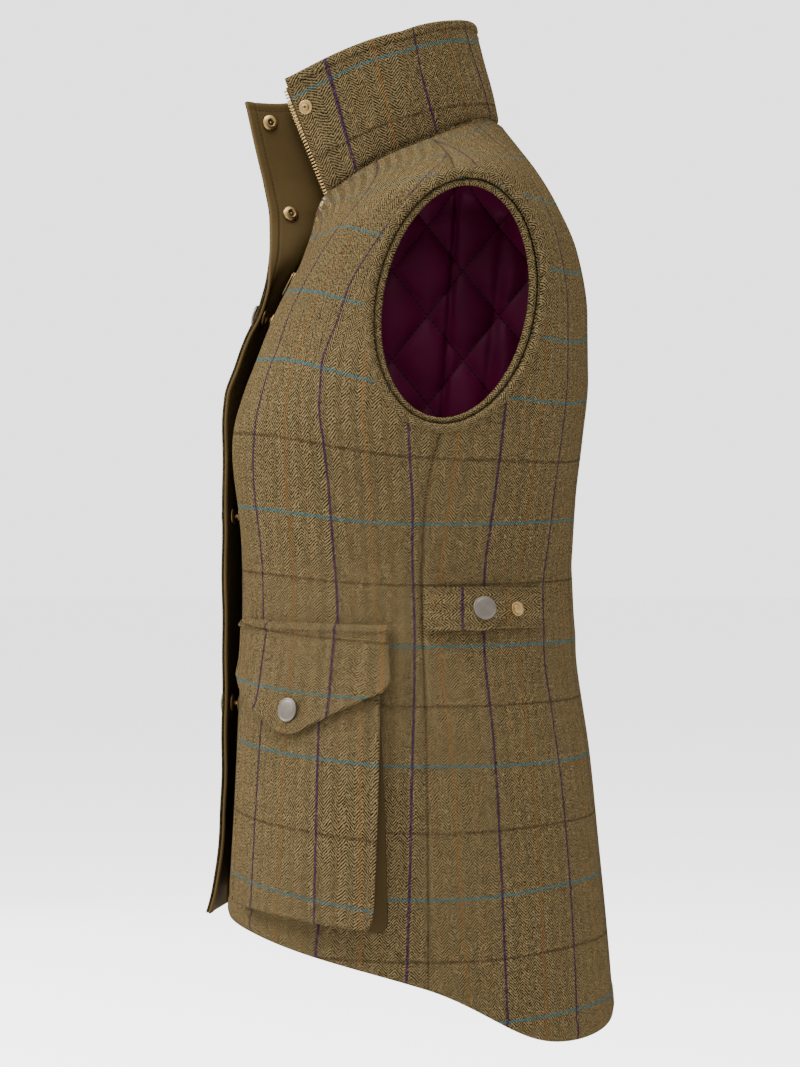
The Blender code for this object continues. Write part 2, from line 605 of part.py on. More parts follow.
def stud(number, height, mouth):
    """A stud on the left front. Where the placket is closed it points into its socket's mouth."""
    rings, out = np.linspace(1, TOP - 0.05, 1200), STUD_FROM_EDGE
    ring = rings[nearest_row(surface(edge_angle(rings, -out), rings), height)]
    high, wide, post = SNAP["stud_high"], SNAP["stud"], SNAP["post"]
    if height < CLOSED_BELOW:
        ring, out = np.meshgrid(np.linspace(ring - 0.15, ring + 0.15, 61), np.linspace(1, 26, 76))
        point, normal, _, _ = frame_at(edge_angle(ring, -out), ring)
        reach = ((mouth - point) * normal).sum(-1)
        aside = np.linalg.norm(mouth - point - normal * reach[..., None], axis=-1)
        best = np.unravel_index(np.argmin(aside), aside.shape)
        ring, out = ring[best], out[best]
    point, normal, _, _ = frame_at(edge_angle(ring, -out), ring)
    seat = resting_height("collar" if ring > NECK else "front_left", point, normal, wide)
    if height < CLOSED_BELOW:
        high = float((mouth - point) @ normal) - seat + SNAP["enters"]
    shoulder = high - SNAP["tip"]
    profile = ((0, high), (post, shoulder), (post, SNAP["neck"]), (wide, SNAP["foot"]), (wide, 0), (0, 0))
    turned(f"snap_stud_{number}", profile, point + normal * seat, normal, "brass")


def pocket_places(u, w):
    """Angle and ring of a point of the pocket, u across from the front and w down from the top."""
    corner = {}
    for name in ("front_top", "front_foot", "side_top", "side_foot"):
        degrees, z = POCKET[name]
        rings = np.linspace(0, 4.5, 900)
        line = surface(np.radians(degrees) + 0 * rings, rings)
        corner[name] = np.array([np.radians(degrees), rings[nearest_row(line, z)]])
    u, w = np.asarray(u, float)[..., None], np.asarray(w, float)[..., None]
    top = corner["front_top"] * (1 - u) + corner["side_top"] * u
    foot = corner["front_foot"] * (1 - u) + corner["side_foot"] * u
    place = top * (1 - w) + foot * w
    return place[..., 0], place[..., 1]


def pocket_stand(u, w):
    """How far the bag's outer face stands off the panel: most at its foot, towards the side."""
    u, down = np.clip(u, 0, 1), np.clip(w, 0, 1)
    foot = POCKET["stand_front"] + (POCKET["stand_side"] - POCKET["stand_front"]) * u
    stand = POCKET["stand_top"] + (foot - POCKET["stand_top"]) * down ** 0.9
    return stand + POCKET["crown"] * 4 * u * (1 - u) * np.sin(np.pi * down) ** 0.8


def bag_place(u, w):
    """A place on the bag's face from shares of its own width and depth, with rounded lower corners."""
    inset = (POCKET["inset_top"] + (POCKET["inset_foot"] - POCKET["inset_top"]) * w) / POCKET["across"]
    corner = POCKET["corner"]
    into = np.clip((w - 1 + corner) / corner, 0, 1)
    inset = inset + POCKET["corner_in"] * corner * (1 - np.sqrt(1 - 0.96 * into ** 2))
    return inset + (1 - 2 * inset) * u, w * (1 - POCKET["inset_foot"] / POCKET["down"])


def pockets():
    """Bellows patch pockets: a face standing off the panel and the gusset folded round it."""
    down = np.array(BAG_ROWS)[:, None]
    u, w = bag_place(*np.broadcast_arrays(np.linspace(0, 1, 9), down))
    angle, ring = pocket_places(u, w)
    stand = pocket_stand(u, w)
    offset_wall("pocket_bag", angle, ring, stand, stand - POCKET["wall"], "tweed")
    side, foot = np.array(GUSSET["side"]), np.linspace(GUSSET["in"], 1 - GUSSET["in"], 7)
    path = np.concatenate([
        np.stack([0 * side, side], -1),
        np.stack([foot, 0 * foot + GUSSET["foot"]], -1),
        np.stack([0 * side + 1, side[::-1]], -1),
    ])
    face = np.stack(bag_place(path[:, 0], path[:, 1] * GUSSET["foot"]), -1)
    outer, inner = [], []
    for share in (0.0, 0.5, 1.0):
        place = path * (1 - share) + face * share
        angle, ring = pocket_places(*place.T)
        top = pocket_stand(*face.T) - POCKET["wall"] - 2 * GAP
        high = POCKET["clear"] * (1 - share) + top * share
        outer.append(moved_out(angle, ring, high))
        inwards = (np.array(GUSSET["middle"]) - place) * GUSSET["wall"]
        angle, ring = pocket_places(*(place + inwards).T)
        inner.append(moved_out(angle, ring, high))
    both_sides("pocket_gusset", np.stack(outer), np.stack(inner), "moleskin")


def pocket_flaps():
    """Pointed flaps that hang from a stitched ridge over the pocket's mouth."""
    u = np.concatenate([[-FLAP["over"], 0.03], np.linspace(0.12, 0.88, 7), [0.97, 1 + FLAP["over"]]])
    foot = np.interp(np.clip(u, 0, 1), [row[0] for row in FLAP_EDGE], [row[1] for row in FLAP_EDGE])
    w = FLAP["top"] + (foot - FLAP["top"]) * np.array(FLAP_ROWS)[:, None]
    u = np.broadcast_to(u, w.shape)
    angle, ring = pocket_places(u, w)
    hang = np.clip((w - FLAP["top"]) / FLAP["sewn_to"], 0, 1)
    under = FLAP["seat"] + hang * (pocket_stand(u, w) + FLAP["clear"] - FLAP["seat"])
    ridge = FLAP["ridge"] * np.exp(-((w - FLAP["ridge_at"]) / FLAP["ridge_wide"]) ** 2)
    offset_wall("pocket_flap", angle, ring, under + FLAP["wall"] + ridge, under, "tweed")
    angle, ring = pocket_places(*FLAP_CAP)
    point, normal, _, _ = frame_at(angle, ring)
    out = resting_height("pocket_flap_left", point, normal, SNAP["cap"])
    cap = domed(SNAP["cap"], SNAP["cap_high"])
    on_both_sides("pocket_cap", cap, point + normal * out, normal, "old_nickel")


def on_both_sides(name, profile, place, normal, colour):
    """A turned piece on the left, and its mirror image on the right."""
    for side, flip in (("left", (1, 1, 1)), ("right", (-1, 1, 1))):
        turned(f"{name}_{side}", profile, place * flip, normal * flip, colour)


def tab_grid(tab, columns):
    """Angles and rings of a tab, narrowed to a blunt point at its rear end where it has one."""
    y = np.linspace(tab["y0"], tab["y1"], columns + 1)
    narrow = np.clip(1 - (tab["y1"] - y) / tab["point"], 0, 1) ** 1.6 if tab["point"] else 0 * y
    half = tab["high"] / 2 * (1 - TAB["narrows"] * narrow)
    up = np.linspace(-1, 1, 5)[:, None]
    return locate(np.broadcast_to(y, (5, columns + 1)), tab["z"] + up * half)


def waist_tabs():
    """Waist adjusters: a pointed tab from the side seam, held by a cap on the tab beneath it."""
    angle, ring = tab_grid(UNDER_TAB, 7)
    offset_wall("under_tab", angle, ring, TAB["clear"] + UNDER_TAB["wall"], TAB["clear"], "tweed")
    angle, ring = tab_grid(TAB, 9)
    y = surface(angle, ring)[..., 1]
    climb = (y - TAB["y0"]) / (UNDER_TAB["y0"] - TAB["risen_before"] - TAB["y0"])
    lift = TAB["clear"] + TAB["rise"] * np.clip(climb, 0, 1)
    offset_wall("tab", angle, ring, lift + TAB["wall"], lift, "tweed")
    cap, post = domed(SNAP["cap"], SNAP["cap_high"]), domed(POST["wide"], POST["high"])
    for name, y_at, under, wide, profile, colour in (
        ("tab_cap", TAB["cap_y"], "tab_left", SNAP["cap"], cap, "old_nickel"),
        ("tab_post", POST["y"], "under_tab_left", POST["wide"], post, "brass"),
    ):
        point, normal, _, _ = frame_at(*locate(y_at, TAB["z"]))
        seat = resting_height(under, point, normal, wide)
        on_both_sides(name, profile, point + normal * seat, normal, colour)


def box(name, size, centre, turn, colour, origin=None):
    """A box with softened edges, turned about X, its origin at a given place in mm."""
    origin = centre if origin is None else origin
    mesh = bpy.data.meshes.new(name)
    form = bmesh.new()
    bmesh.ops.create_cube(form, size=1.0)
    bmesh.ops.scale(form, vec=np.asarray(size) * MM, verts=form.verts)
    bmesh.ops.rotate(form, cent=(0, 0, 0), matrix=Matrix.Rotation(turn, 3, "X"), verts=form.verts)
    bmesh.ops.translate(form, vec=(np.asarray(centre) - origin) * MM, verts=form.verts)
    form.to_mesh(mesh)
    form.free()
    mesh.materials.append(material(f"{name}-{colour}"))
    made = bpy.data.objects.new(name, mesh)
    made.location = np.asarray(origin) * MM
    bevel = made.modifiers.new("edges", "BEVEL")
    bevel.width = SLIDER["edge"] * MM
    bevel.segments = 1
    collection.objects.link(made)
    return made


def slider():
    """The zip's slider at the end of the closed stretch, and the pull tab that hangs from it."""
    low, centre, high = surface(0.0, SLIDER["ring"] + np.array([-0.25, 0.0, 0.25]))
    up = (high - low) / np.linalg.norm(high - low)
    out = np.cross((1.0, 0.0, 0.0), up)
    lean = float(np.arctan2(up[2], up[1]))
    wide, long, thick = SLIDER["wide"], SLIDER["long"], SLIDER["thick"]
    foot = ZIP["proud"] - TWEED
    box("zip_slider", (wide, long, thick), centre + out * (foot + thick / 2), lean, "brass")
    pin = centre + up * SLIDER["pin_up"] + out * (foot + thick + GAP + SLIDER["tab_thick"] / 2)
    middle = pin - up * (SLIDER["tab_long"] / 2 - SLIDER["tab_head"])
    size = SLIDER["tab_wide"], SLIDER["tab_long"], SLIDER["tab_thick"]
    box("zip_pull", size, middle, lean, "brass", pin)


for old in list(bpy.data.objects):
    bpy.data.objects.remove(old)
collection = bpy.data.collections.new("gilet")
bpy.context.scene.collection.children.link(collection)
panels()
linings()
armhole_edges()
stand_collar()
zips()
placket()
snaps()
pockets()
pocket_flaps()
waist_tabs()
slider()
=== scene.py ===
import bpy
import numpy as np
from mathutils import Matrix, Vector


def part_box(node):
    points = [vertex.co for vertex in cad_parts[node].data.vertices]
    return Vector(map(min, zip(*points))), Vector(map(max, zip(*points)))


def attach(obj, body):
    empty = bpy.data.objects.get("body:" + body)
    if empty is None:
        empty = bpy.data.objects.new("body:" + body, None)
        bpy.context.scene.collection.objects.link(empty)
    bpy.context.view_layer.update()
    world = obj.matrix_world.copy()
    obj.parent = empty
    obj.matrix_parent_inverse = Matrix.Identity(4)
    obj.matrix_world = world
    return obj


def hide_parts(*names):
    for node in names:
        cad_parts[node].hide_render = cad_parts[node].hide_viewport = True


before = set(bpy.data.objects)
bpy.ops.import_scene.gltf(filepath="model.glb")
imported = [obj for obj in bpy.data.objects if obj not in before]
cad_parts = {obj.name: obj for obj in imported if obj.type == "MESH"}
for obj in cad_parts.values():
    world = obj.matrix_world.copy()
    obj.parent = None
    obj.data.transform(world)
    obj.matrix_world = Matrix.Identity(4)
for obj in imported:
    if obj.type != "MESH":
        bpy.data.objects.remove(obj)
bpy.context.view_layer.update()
print("frame loaded:", len(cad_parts), "nodes")

# The garment's form. Each ring row: half width, y at the side, front and back, the height at five
# angles from the centre front, and how much the ring is squared.
form = {
    "columns": ("half", "ySide", "yFront", "yBack", "z0", "z45", "z90", "z135", "z180", "flat"),
    "rings": (
        (193, 18, -130, 158.5, -558, -563, -589, -631, -620, 0.30),
        (190, 18, -127, 150, -500, -503, -514, -535, -535, 0.30),
        (182, 17, -123, 139.5, -425, -427, -430, -434, -436, 0.32),
        (168, 15, -120, 129.5, -362, -362, -362, -362, -362, 0.36),
        (155, 14, -119, 127, -304, -304, -304, -304, -304, 0.40),
        (161, 17, -118, 129.5, -254, -254, -254, -254, -254, 0.42),
        (172, 24, -117, 134.5, -207, -207, -207, -207, -207, 0.40),
        (174, 36, -113, 139, -174, -166, -152, -157, -160, 0.30),
        (174, 44, -105, 138.5, -143, -130, -102, -110, -115, 0.20),
        (173, 42, -95, 131, -115, -97, -58, -64, -70, 0.18),
        (167, 35, -84, 117, -92, -70, -27, -31, -37, 0.18),
        (130, 28, -75, 103, -73, -50, -11, -8, -11, 0.20),
        (94, 17, -70, 88.5, -55, -35, -1, 10, 10, 0.22),
        (60, 5, -74, 73, -36, -24, 8, 29, 30, 0.25),
        (60, 0, -116, 55, 50, 58, 91, 102, 104, 0.25),
    ),
    "neck": 13, "top": 14, "seamStep": 0.005, "gap": 0.0, "wall": 1.8,
    "bustOut": 15.0, "bustAngle": 31.0, "bustZ": -212.0, "bustWide": 24.0, "bustTall": 62.0,
    "fluteDepth": 2.6, "fluteCount": 7.0, "fluteFades": 3.2,
    "dip": 10.0, "dipAngle": 114.0, "dipWide": 18.0,
    "frontEdge": ((0, 6.5), (9.7, 6.5), (10.4, 8.0), (11, 17), (12, 31), (13, 42), (14, 43)),
    "sideSeam": ((0, 90.0), (4, 90.0), (6.3, 89.0)), "seamBendsFrom": 4.5,
    "shoulderSeam": ((9.9, 91.0), (11, 94.0), (12, 98.0), (13, 101.0)),
    "armY": 47.5, "armZ": -114.2, "armHalfY": 58.0, "armHalfZ": 86.2, "armLean": 19.0,
}


# A smooth value between the rows of a table: cubic pieces whose slopes never overshoot.
def along(table, at, column=1):
    x = np.array([row[0] for row in table], float)
    y = np.array([row[column] for row in table], float)
    rise = np.diff(y) / np.diff(x)
    steady = rise[:-1] * rise[1:] > 0
    inner = np.where(steady, 2 * rise[:-1] * rise[1:] / np.where(steady, rise[:-1] + rise[1:], 1), 0)
    slope = np.concatenate([rise[:1], inner, rise[-1:]])
    at = np.clip(np.asarray(at, float), x[0], x[-1])
    i = np.clip(np.searchsorted(x, at, side="right") - 1, 0, len(x) - 2)
    step = x[i + 1] - x[i]
    s = (at - x[i]) / step
    ends = y[i] * (1 + 2 * s) * (1 - s) ** 2 + y[i + 1] * s ** 2 * (3 - 2 * s)
    return ends + step * (slope[i] * s * (1 - s) ** 2 - slope[i + 1] * s ** 2 * (1 - s))


def ringValue(name, ring):
    column = form["columns"].index(name)
    return along([(i, row[column]) for i, row in enumerate(form["rings"][:form["top"]])], ring)


# Height round a ring: cubic pieces between five heights, level at the middles of front and back.
def roundHeight(angle, heights):
    place = np.arccos(np.clip(np.cos(angle), -1, 1)) / (np.pi / 4)
    i = np.clip(place.astype(int), 0, 3)
    s = place - i
    level = [heights[0], *heights, heights[4]]
    slopes = [0 * heights[0]] + [(level[k + 2] - level[k]) / 2 for k in range(1, 4)] + [0 * heights[0]]
    value = np.zeros(np.broadcast(angle, heights[0]).shape)
    for k in range(4):
        piece = heights[k] * (1 + 2 * s) * (1 - s) ** 2 + heights[k + 1] * s ** 2 * (3 - 2 * s)
        piece = piece + slopes[k] * s * (1 - s) ** 2 - slopes[k + 1] * s ** 2 * (1 - s)
        value = np.where(i == k, piece, value)
    return value


# A ring is a squared oval: x by the sine, y by the cosine pushed out where the oval is squared.
def ringPoints(angle, value):
    c, flat = np.cos(angle), value("flat")
    squared = np.abs(c) * (1 + flat * (1 - np.abs(c)))
    reach = np.where(c > 0, value("yFront"), value("yBack")) - value("ySide")
    z = roundHeight(angle, [value(name) for name in ("z0", "z45", "z90", "z135", "z180")])
    x, y = value("half") * np.sin(angle), value("ySide") + reach * squared
    return np.stack(np.broadcast_arrays(x, y, z), -1)


# The outer surface: rings, a bust pushed forward, flutes towards the hem and straight rulings up
# the collar.
def surfaceAt(angle, ring):
    angle, ring = np.broadcast_arrays(np.asarray(angle, float), np.asarray(ring, float))
    neck, low = form["neck"], np.minimum(ring, form["neck"])
    points = ringPoints(angle, lambda name: ringValue(name, low))
    folded = np.arccos(np.cos(angle))
    side = (np.degrees(folded) - form["bustAngle"]) / form["bustWide"]
    up = (points[..., 2] - form["bustZ"]) / form["bustTall"]
    points[..., 1] -= form["bustOut"] * np.exp(-side ** 2 - up ** 2)
    fade = np.clip(1 - low / form["fluteFades"], 0, 1) ** 1.5
    wave = form["fluteDepth"] * fade * np.cos(form["fluteCount"] * folded) * np.sin(folded / 2) ** 2
    points[..., 0] += wave * np.sin(angle)
    points[..., 1] -= wave * np.cos(angle)
    dip = ((np.degrees(folded) - form["dipAngle"]) / form["dipWide"]) ** 2
    points[..., 2] -= form["dip"] * np.exp(-dip) * np.clip(1 - low, 0, 1)
    rows = form["rings"]
    base, top = [
        ringPoints(angle, lambda name, row=row: row[form["columns"].index(name)] + 0 * angle)
        for row in (rows[neck], rows[form["top"]])
    ]
    share = np.clip(ring - neck, 0, 1)[..., None]
    return np.where(share > 0, base + (top - base) * share, points)


# Points, outward normals (the cross product of small steps round and up) and mm to a radian.
def frameAt(angle, ring):
    step, neck, top = 1e-3, form["neck"], form["top"]
    angle, ring = np.broadcast_arrays(np.asarray(angle, float), np.asarray(ring, float))
    low, high = np.where(ring > neck - step, ring, ring - step), ring + step
    high = np.where((ring <= neck) & (high > neck), ring, high)
    low = np.where(ring >= top - step, ring - step, low)
    high = np.where(ring >= top - step, ring, high)
    low = np.where(high <= low, ring - step, low)
    points = surfaceAt(angle, ring)
    across = surfaceAt(angle + step, ring) - surfaceAt(angle - step, ring)
    normal = np.cross(across, surfaceAt(angle, high) - surfaceAt(angle, low))
    normal /= np.linalg.norm(normal, axis=-1, keepdims=True)
    return points, normal, np.linalg.norm(across, axis=-1) / (2 * step)


def movedOut(angle, ring, distance):
    points, normal, _ = frameAt(angle, ring)
    return points + normal * np.broadcast_to(distance, points.shape[:-1])[..., None]


# The angle and ring of the left side's point at a y and z of the side view, by Newton steps.
def locate(y, z):
    y, z = np.broadcast_arrays(np.asarray(y, float), np.asarray(z, float))
    angle, ring = np.full(y.shape, 1.5), np.interp(z, (-592, -304, -207, -27), (0.0, 4.0, 6.0, 10.0))
    step = 1e-4
    for _ in range(40):
        here = surfaceAt(angle, ring)[..., 1:]
        byAngle = (surfaceAt(angle + step, ring)[..., 1:] - here) / step
        byRing = (surfaceAt(angle, ring + step)[..., 1:] - here) / step
        miss = np.stack([y, z], -1) - here
        size = byAngle[..., 0] * byRing[..., 1] - byAngle[..., 1] * byRing[..., 0]
        turn = (miss[..., 0] * byRing[..., 1] - miss[..., 1] * byRing[..., 0]) / size
        climb = (byAngle[..., 0] * miss[..., 1] - byAngle[..., 1] * miss[..., 0]) / size
        angle = np.clip(angle + np.clip(turn, -0.15, 0.15), 0.02, 3.1)
        ring = np.clip(ring + np.clip(climb, -0.4, 0.4), 0, form["neck"] - 0.01)
    return angle, ring


# The armhole's edge: an oval on the side view whose foot leans forward.
def armholeAt(turn, grow=0.0):
    y = form["armY"] - (form["armHalfY"] + grow) * np.sin(turn) - form["armLean"] * (1 + np.cos(turn)) / 2
    return locate(y, form["armZ"] - (form["armHalfZ"] + grow) * np.cos(turn))


# The left front edge's angle, or of a line a distance beyond it towards the middle.
def edgeAngle(ring, beyond=0.0):
    ring = np.asarray(ring, float)
    half = np.where(ring > form["neck"], form["rings"][form["top"]][0],
                    ringValue("half", np.minimum(ring, form["neck"])))
    edge = np.arcsin(along(form["frontEdge"], ring) / half)
    shift = beyond / frameAt(edge, ring)[2]
    for _ in range(3):
        shift = beyond / frameAt(edge - shift / 2, ring)[2]
    return edge - shift


# A panel's rows: rings from the hem up, and the angle where each meets side seam, armhole or shoulder.
def outerRows(side, lower, grow, rows):
    turn = np.linspace(0, np.pi, rows["arm"] + 1) * (1 if side == "front" else -1)
    angleArm, ringArm = armholeAt(turn, grow)
    ringSkirt = np.linspace(lower, ringArm[0], rows["skirt"] + 1)[:-1]
    angleSkirt = np.radians(along(form["sideSeam"], ringSkirt))
    bends = form["seamBendsFrom"]
    bent = np.clip((ringSkirt - bends) / (ringArm[0] - bends), 0, 1)
    angleSkirt += (angleArm[0] - angleSkirt) * bent ** 2
    climb = np.linspace(0, 1, rows["shoulder"] + 1)[1:] ** 1.5
    ringTop = ringArm[-1] + (form["neck"] - ringArm[-1]) * climb
    angleTop = np.radians(along(form["shoulderSeam"], ringTop))
    ring = np.concatenate([ringSkirt, ringArm, ringTop])
    angle = np.concatenate([angleSkirt, angleArm, angleTop])
    seam = np.ones(len(ring))
    seam[rows["skirt"] + 1:rows["skirt"] + rows["arm"]] = 0
    shift = seam * (form["gap"] / 2) / frameAt(angle, ring)[2]
    return ring, angle + (-shift if side == "front" else shift)


def gridOf(start, end, ring, columns):
    angle = start[:, None] + (end - start)[:, None] * np.linspace(0, 1, columns + 1)
    return angle, np.broadcast_to(ring[:, None], angle.shape)


def frontGrid(columns, rows, beyond=0.0, lower=0.0, grow=0.0):
    ring, end = outerRows("front", lower, grow, rows)
    return gridOf(edgeAngle(ring, beyond), end, ring, columns)


def backGrid(columns, rows, lower=0.0, grow=0.0):
    ring, start = outerRows("back", lower, grow, rows)
    return gridOf(start, 2 * np.pi - start, ring, columns)


# Where the check's lines run. Warp lines: ring, then the degrees round of each line. Weft lines: the
# line's number, then its height at five angles. Above the bust the weft lines are half a repeat apart.
check = {
    "across": 64.0, "down": 96.0,
    "frontLines": (
        (0.0, 36, 63, 85.4), (1.5, 37, 66, 86.4), (3.4, 38.3, 69.1, 88.1), (4.8, 39.3, 67.2, 87.3),
        (5.9, 41, 63.7, 84.5), (6.5, 39.5, 60.2, 82.5), (7.4, 36, 56.5, 81), (8.4, 34, 58.6, 84),
        (9.05, 36.9, 65.2, 92), (10, 45, 80, 105), (11.4, 65.6, 95, 120), (13, 75, 105, 130),
    ),
    "backLines": (
        (0.0, 108.8, 134.7), (1.5, 109, 134.1), (2.2, 108.5, 133.1), (3.1, 107.3, 131.8),
        (3.9, 107.7, 133.4), (4.5, 108.5, 135.6), (5.3, 109.4, 137.3), (6.9, 108.5, 137.7),
        (8, 107, 138.6), (9, 105, 137), (9.8, 102, 135.4), (13, 100, 128),
    ),
    "angles": (0, 40, 90, 135, 180),
    "wefts": (
        (-1, -705, -705, -705, -704, -701), (0, -615, -614, -614, -612, -609),
        (1, -520, -524, -529, -523, -522),
        (2, -432, -435, -437.6, -437, -436), (3, -350, -352, -355.4, -354, -354),
        (4, -255, -258.5, -270, -268, -265), (5, -148, -152, -178, -184, -172),
        (5.5, -95, -103, -130, -140, -128), (6, -58, -61, -78, -90, -80), (6.5, 5, 0, -28, -38, -20),
        (7, 60, 55, 22, 14, 30),
    ),
    "measuredBelow": 8.5, "upperRepeat": 104.0,
}


# Cloth coordinates of the left half as tables over angle and ring: the way round each ring is shared
# between the warp lines, and heights, or the way up past the bust, between the weft lines.
def clothTables():
    angles, rings = np.radians(np.linspace(0, 180, 181)), np.linspace(0, form["neck"], 521)
    points = surfaceAt(angles[None, :], rings[:, None])
    pace = np.linalg.norm(np.diff(points, axis=1), axis=-1)
    roundWay = np.concatenate([np.zeros((len(rings), 1)), np.cumsum(pace, axis=1)], axis=1)
    climb = np.linalg.norm(np.diff(points, axis=0), axis=-1)
    upWay = np.concatenate([np.zeros((1, len(angles))), np.cumsum(climb, axis=0)], axis=0)

    def wayAt(lines, column):
        degrees = along(lines, rings, column)
        low = np.clip(degrees.astype(int), 0, 179)
        row = np.arange(len(rings))
        start, end = roundWay[row, low], roundWay[row, low + 1]
        return (start + (degrees - low) * (end - start))[:, None]

    first, second, third = [wayAt(check["frontLines"], k) for k in (1, 2, 3)]
    pitch = check["across"]
    past = roundWay - second
    warpFront = np.where(past < 0, past / (second - first), past / (third - second))
    warpFront = np.where(roundWay < first, -1 + (roundWay - first) / pitch, warpFront)
    warpFront = np.where(roundWay > third, 1 + (roundWay - third) / pitch, warpFront)
    total = roundWay[:, -1:]
    near, far = total - wayAt(check["backLines"], 2), total - wayAt(check["backLines"], 1)
    fromBack = total - roundWay
    warpBack = np.where(fromBack < near, 2 * fromBack / near, 2 + (fromBack - near) / (far - near))
    warpBack = np.where(fromBack > far, 3 + (fromBack - far) / pitch, warpBack)
    numbers = [row[0] for row in check["wefts"]]
    weft = np.zeros(points.shape[:2])
    turn = int(np.argmin(np.abs(rings - check["measuredBelow"])))
    levels = [along(list(zip(check["angles"], row[1:])), np.degrees(angles)) for row in check["wefts"]]
    for k, heights in enumerate(np.array(levels).T):
        weft[:, k] = np.interp(points[:, k, 2], heights, numbers)
        weft[turn:, k] = weft[turn, k] + (upWay[turn:, k] - upWay[turn, k]) / check["upperRepeat"]
    return {"front": warpFront * pitch, "back": warpBack * pitch, "weft": weft * check["down"],
            "round": roundWay, "up": upWay}


tables = clothTables()


# A table's value at any angle and ring, straight between its entries. The right half mirrors the left.
def sampled(name, angle, ring):
    table = tables[name]
    across = np.degrees(np.arccos(np.clip(np.cos(angle), -1, 1)))
    up = np.clip(ring, 0, form["neck"]) * (table.shape[0] - 1) / form["neck"]
    i, k = np.clip(up.astype(int), 0, table.shape[0] - 2), np.clip(across.astype(int), 0, 179)
    s, t = up - i, across - k
    low = table[i, k] * (1 - t) + table[i, k + 1] * t
    high = table[i + 1, k] * (1 - t) + table[i + 1, k + 1] * t
    return low * (1 - s) + high * s


def clothOn(side, angle, ring):
    return np.stack([sampled(side, angle, ring), sampled("weft", angle, ring)], -1)


print("cloth coordinates ready")


def calc(tree, operation, *values, clamp=False):
    node = tree.nodes.new("ShaderNodeMath")
    node.operation = operation
    node.use_clamp = clamp
    for socket, value in zip(node.inputs, values):
        if isinstance(value, (int, float)):
            socket.default_value = value
        else:
            tree.links.new(value, socket)
    return node.outputs[0]


def mixed(tree, share, first, second):
    node = tree.nodes.new("ShaderNodeMix")
    node.data_type = "RGBA"
    for socket, value in ((node.inputs[0], share), (node.inputs[6], first), (node.inputs[7], second)):
        if isinstance(value, tuple):
            socket.default_value = (*value, 1)
        elif isinstance(value, float):
            socket.default_value = value
        else:
            tree.links.new(value, socket)
    return node.outputs[2]


# Noise on the object's own coordinates, with the size of its grains in mm.
def grain(tree, size, detail=2.0, stretch=(1, 1, 1)):
    place = tree.nodes.new("ShaderNodeTexCoord").outputs["Object"]
    mapping = tree.nodes.new("ShaderNodeMapping")
    mapping.inputs["Scale"].default_value = stretch
    noise = tree.nodes.new("ShaderNodeTexNoise")
    noise.inputs["Scale"].default_value = 1000.0 / size
    noise.inputs["Detail"].default_value = detail
    tree.links.new(place, mapping.inputs["Vector"])
    tree.links.new(mapping.outputs["Vector"], noise.inputs["Vector"])
    return noise.outputs["Fac"]


def clothXY(tree):
    uv = tree.nodes.new("ShaderNodeUVMap")
    uv.uv_map = "cloth"
    parts = tree.nodes.new("ShaderNodeSeparateXYZ")
    tree.links.new(uv.outputs["UV"], parts.inputs[0])
    return parts.outputs[0], parts.outputs[1]


def newLook(name, rough, metal=0.0, sheen=0.0, sheenRough=0.5, gloss=0.12):
    look = bpy.data.materials.new(name)
    look.use_nodes = True
    shader = look.node_tree.nodes["Principled BSDF"]
    shader.inputs["Roughness"].default_value = rough
    shader.inputs["Metallic"].default_value = metal
    shader.inputs["Specular IOR Level"].default_value = gloss
    shader.inputs["Sheen Weight"].default_value = sheen
    shader.inputs["Sheen Roughness"].default_value = sheenRough
    return look, look.node_tree, shader


def addBump(tree, shader, height, depth, strength):
    bump = tree.nodes.new("ShaderNodeBump")
    bump.inputs["Distance"].default_value = depth / 1000
    bump.inputs["Strength"].default_value = strength
    tree.links.new(height, bump.inputs["Height"])
    tree.links.new(bump.outputs["Normal"], shader.inputs["Normal"])


# 1 on a line, falling to 0 past its half width over a soft edge.
def lineMask(tree, distance, halfWidth, soft):
    past = calc(tree, "DIVIDE", calc(tree, "SUBTRACT", distance, halfWidth), soft, clamp=True)
    return calc(tree, "SUBTRACT", 1.0, past, clamp=True)


tweed = {
    "light": (0.096, 0.069, 0.0325), "dark": (0.0035, 0.0024, 0.0009), "fleck": (0.170, 0.112, 0.048),
    "moss": (0.024, 0.025, 0.0125), "purple": (0.014, 0.0030, 0.020), "blue": (0.015, 0.056, 0.062),
    "rust": (0.095, 0.036, 0.0090), "brown": (0.011, 0.0050, 0.003),
    "rib": 5.6, "twill": 2.3, "slope": 1.15, "bump": 0.9, "depth": 0.9,
    "halfPurple": 0.65, "halfBlue": 0.6, "halfRust": 0.45, "halfBrown": 0.7,
    "bustLine": 4.75,
}


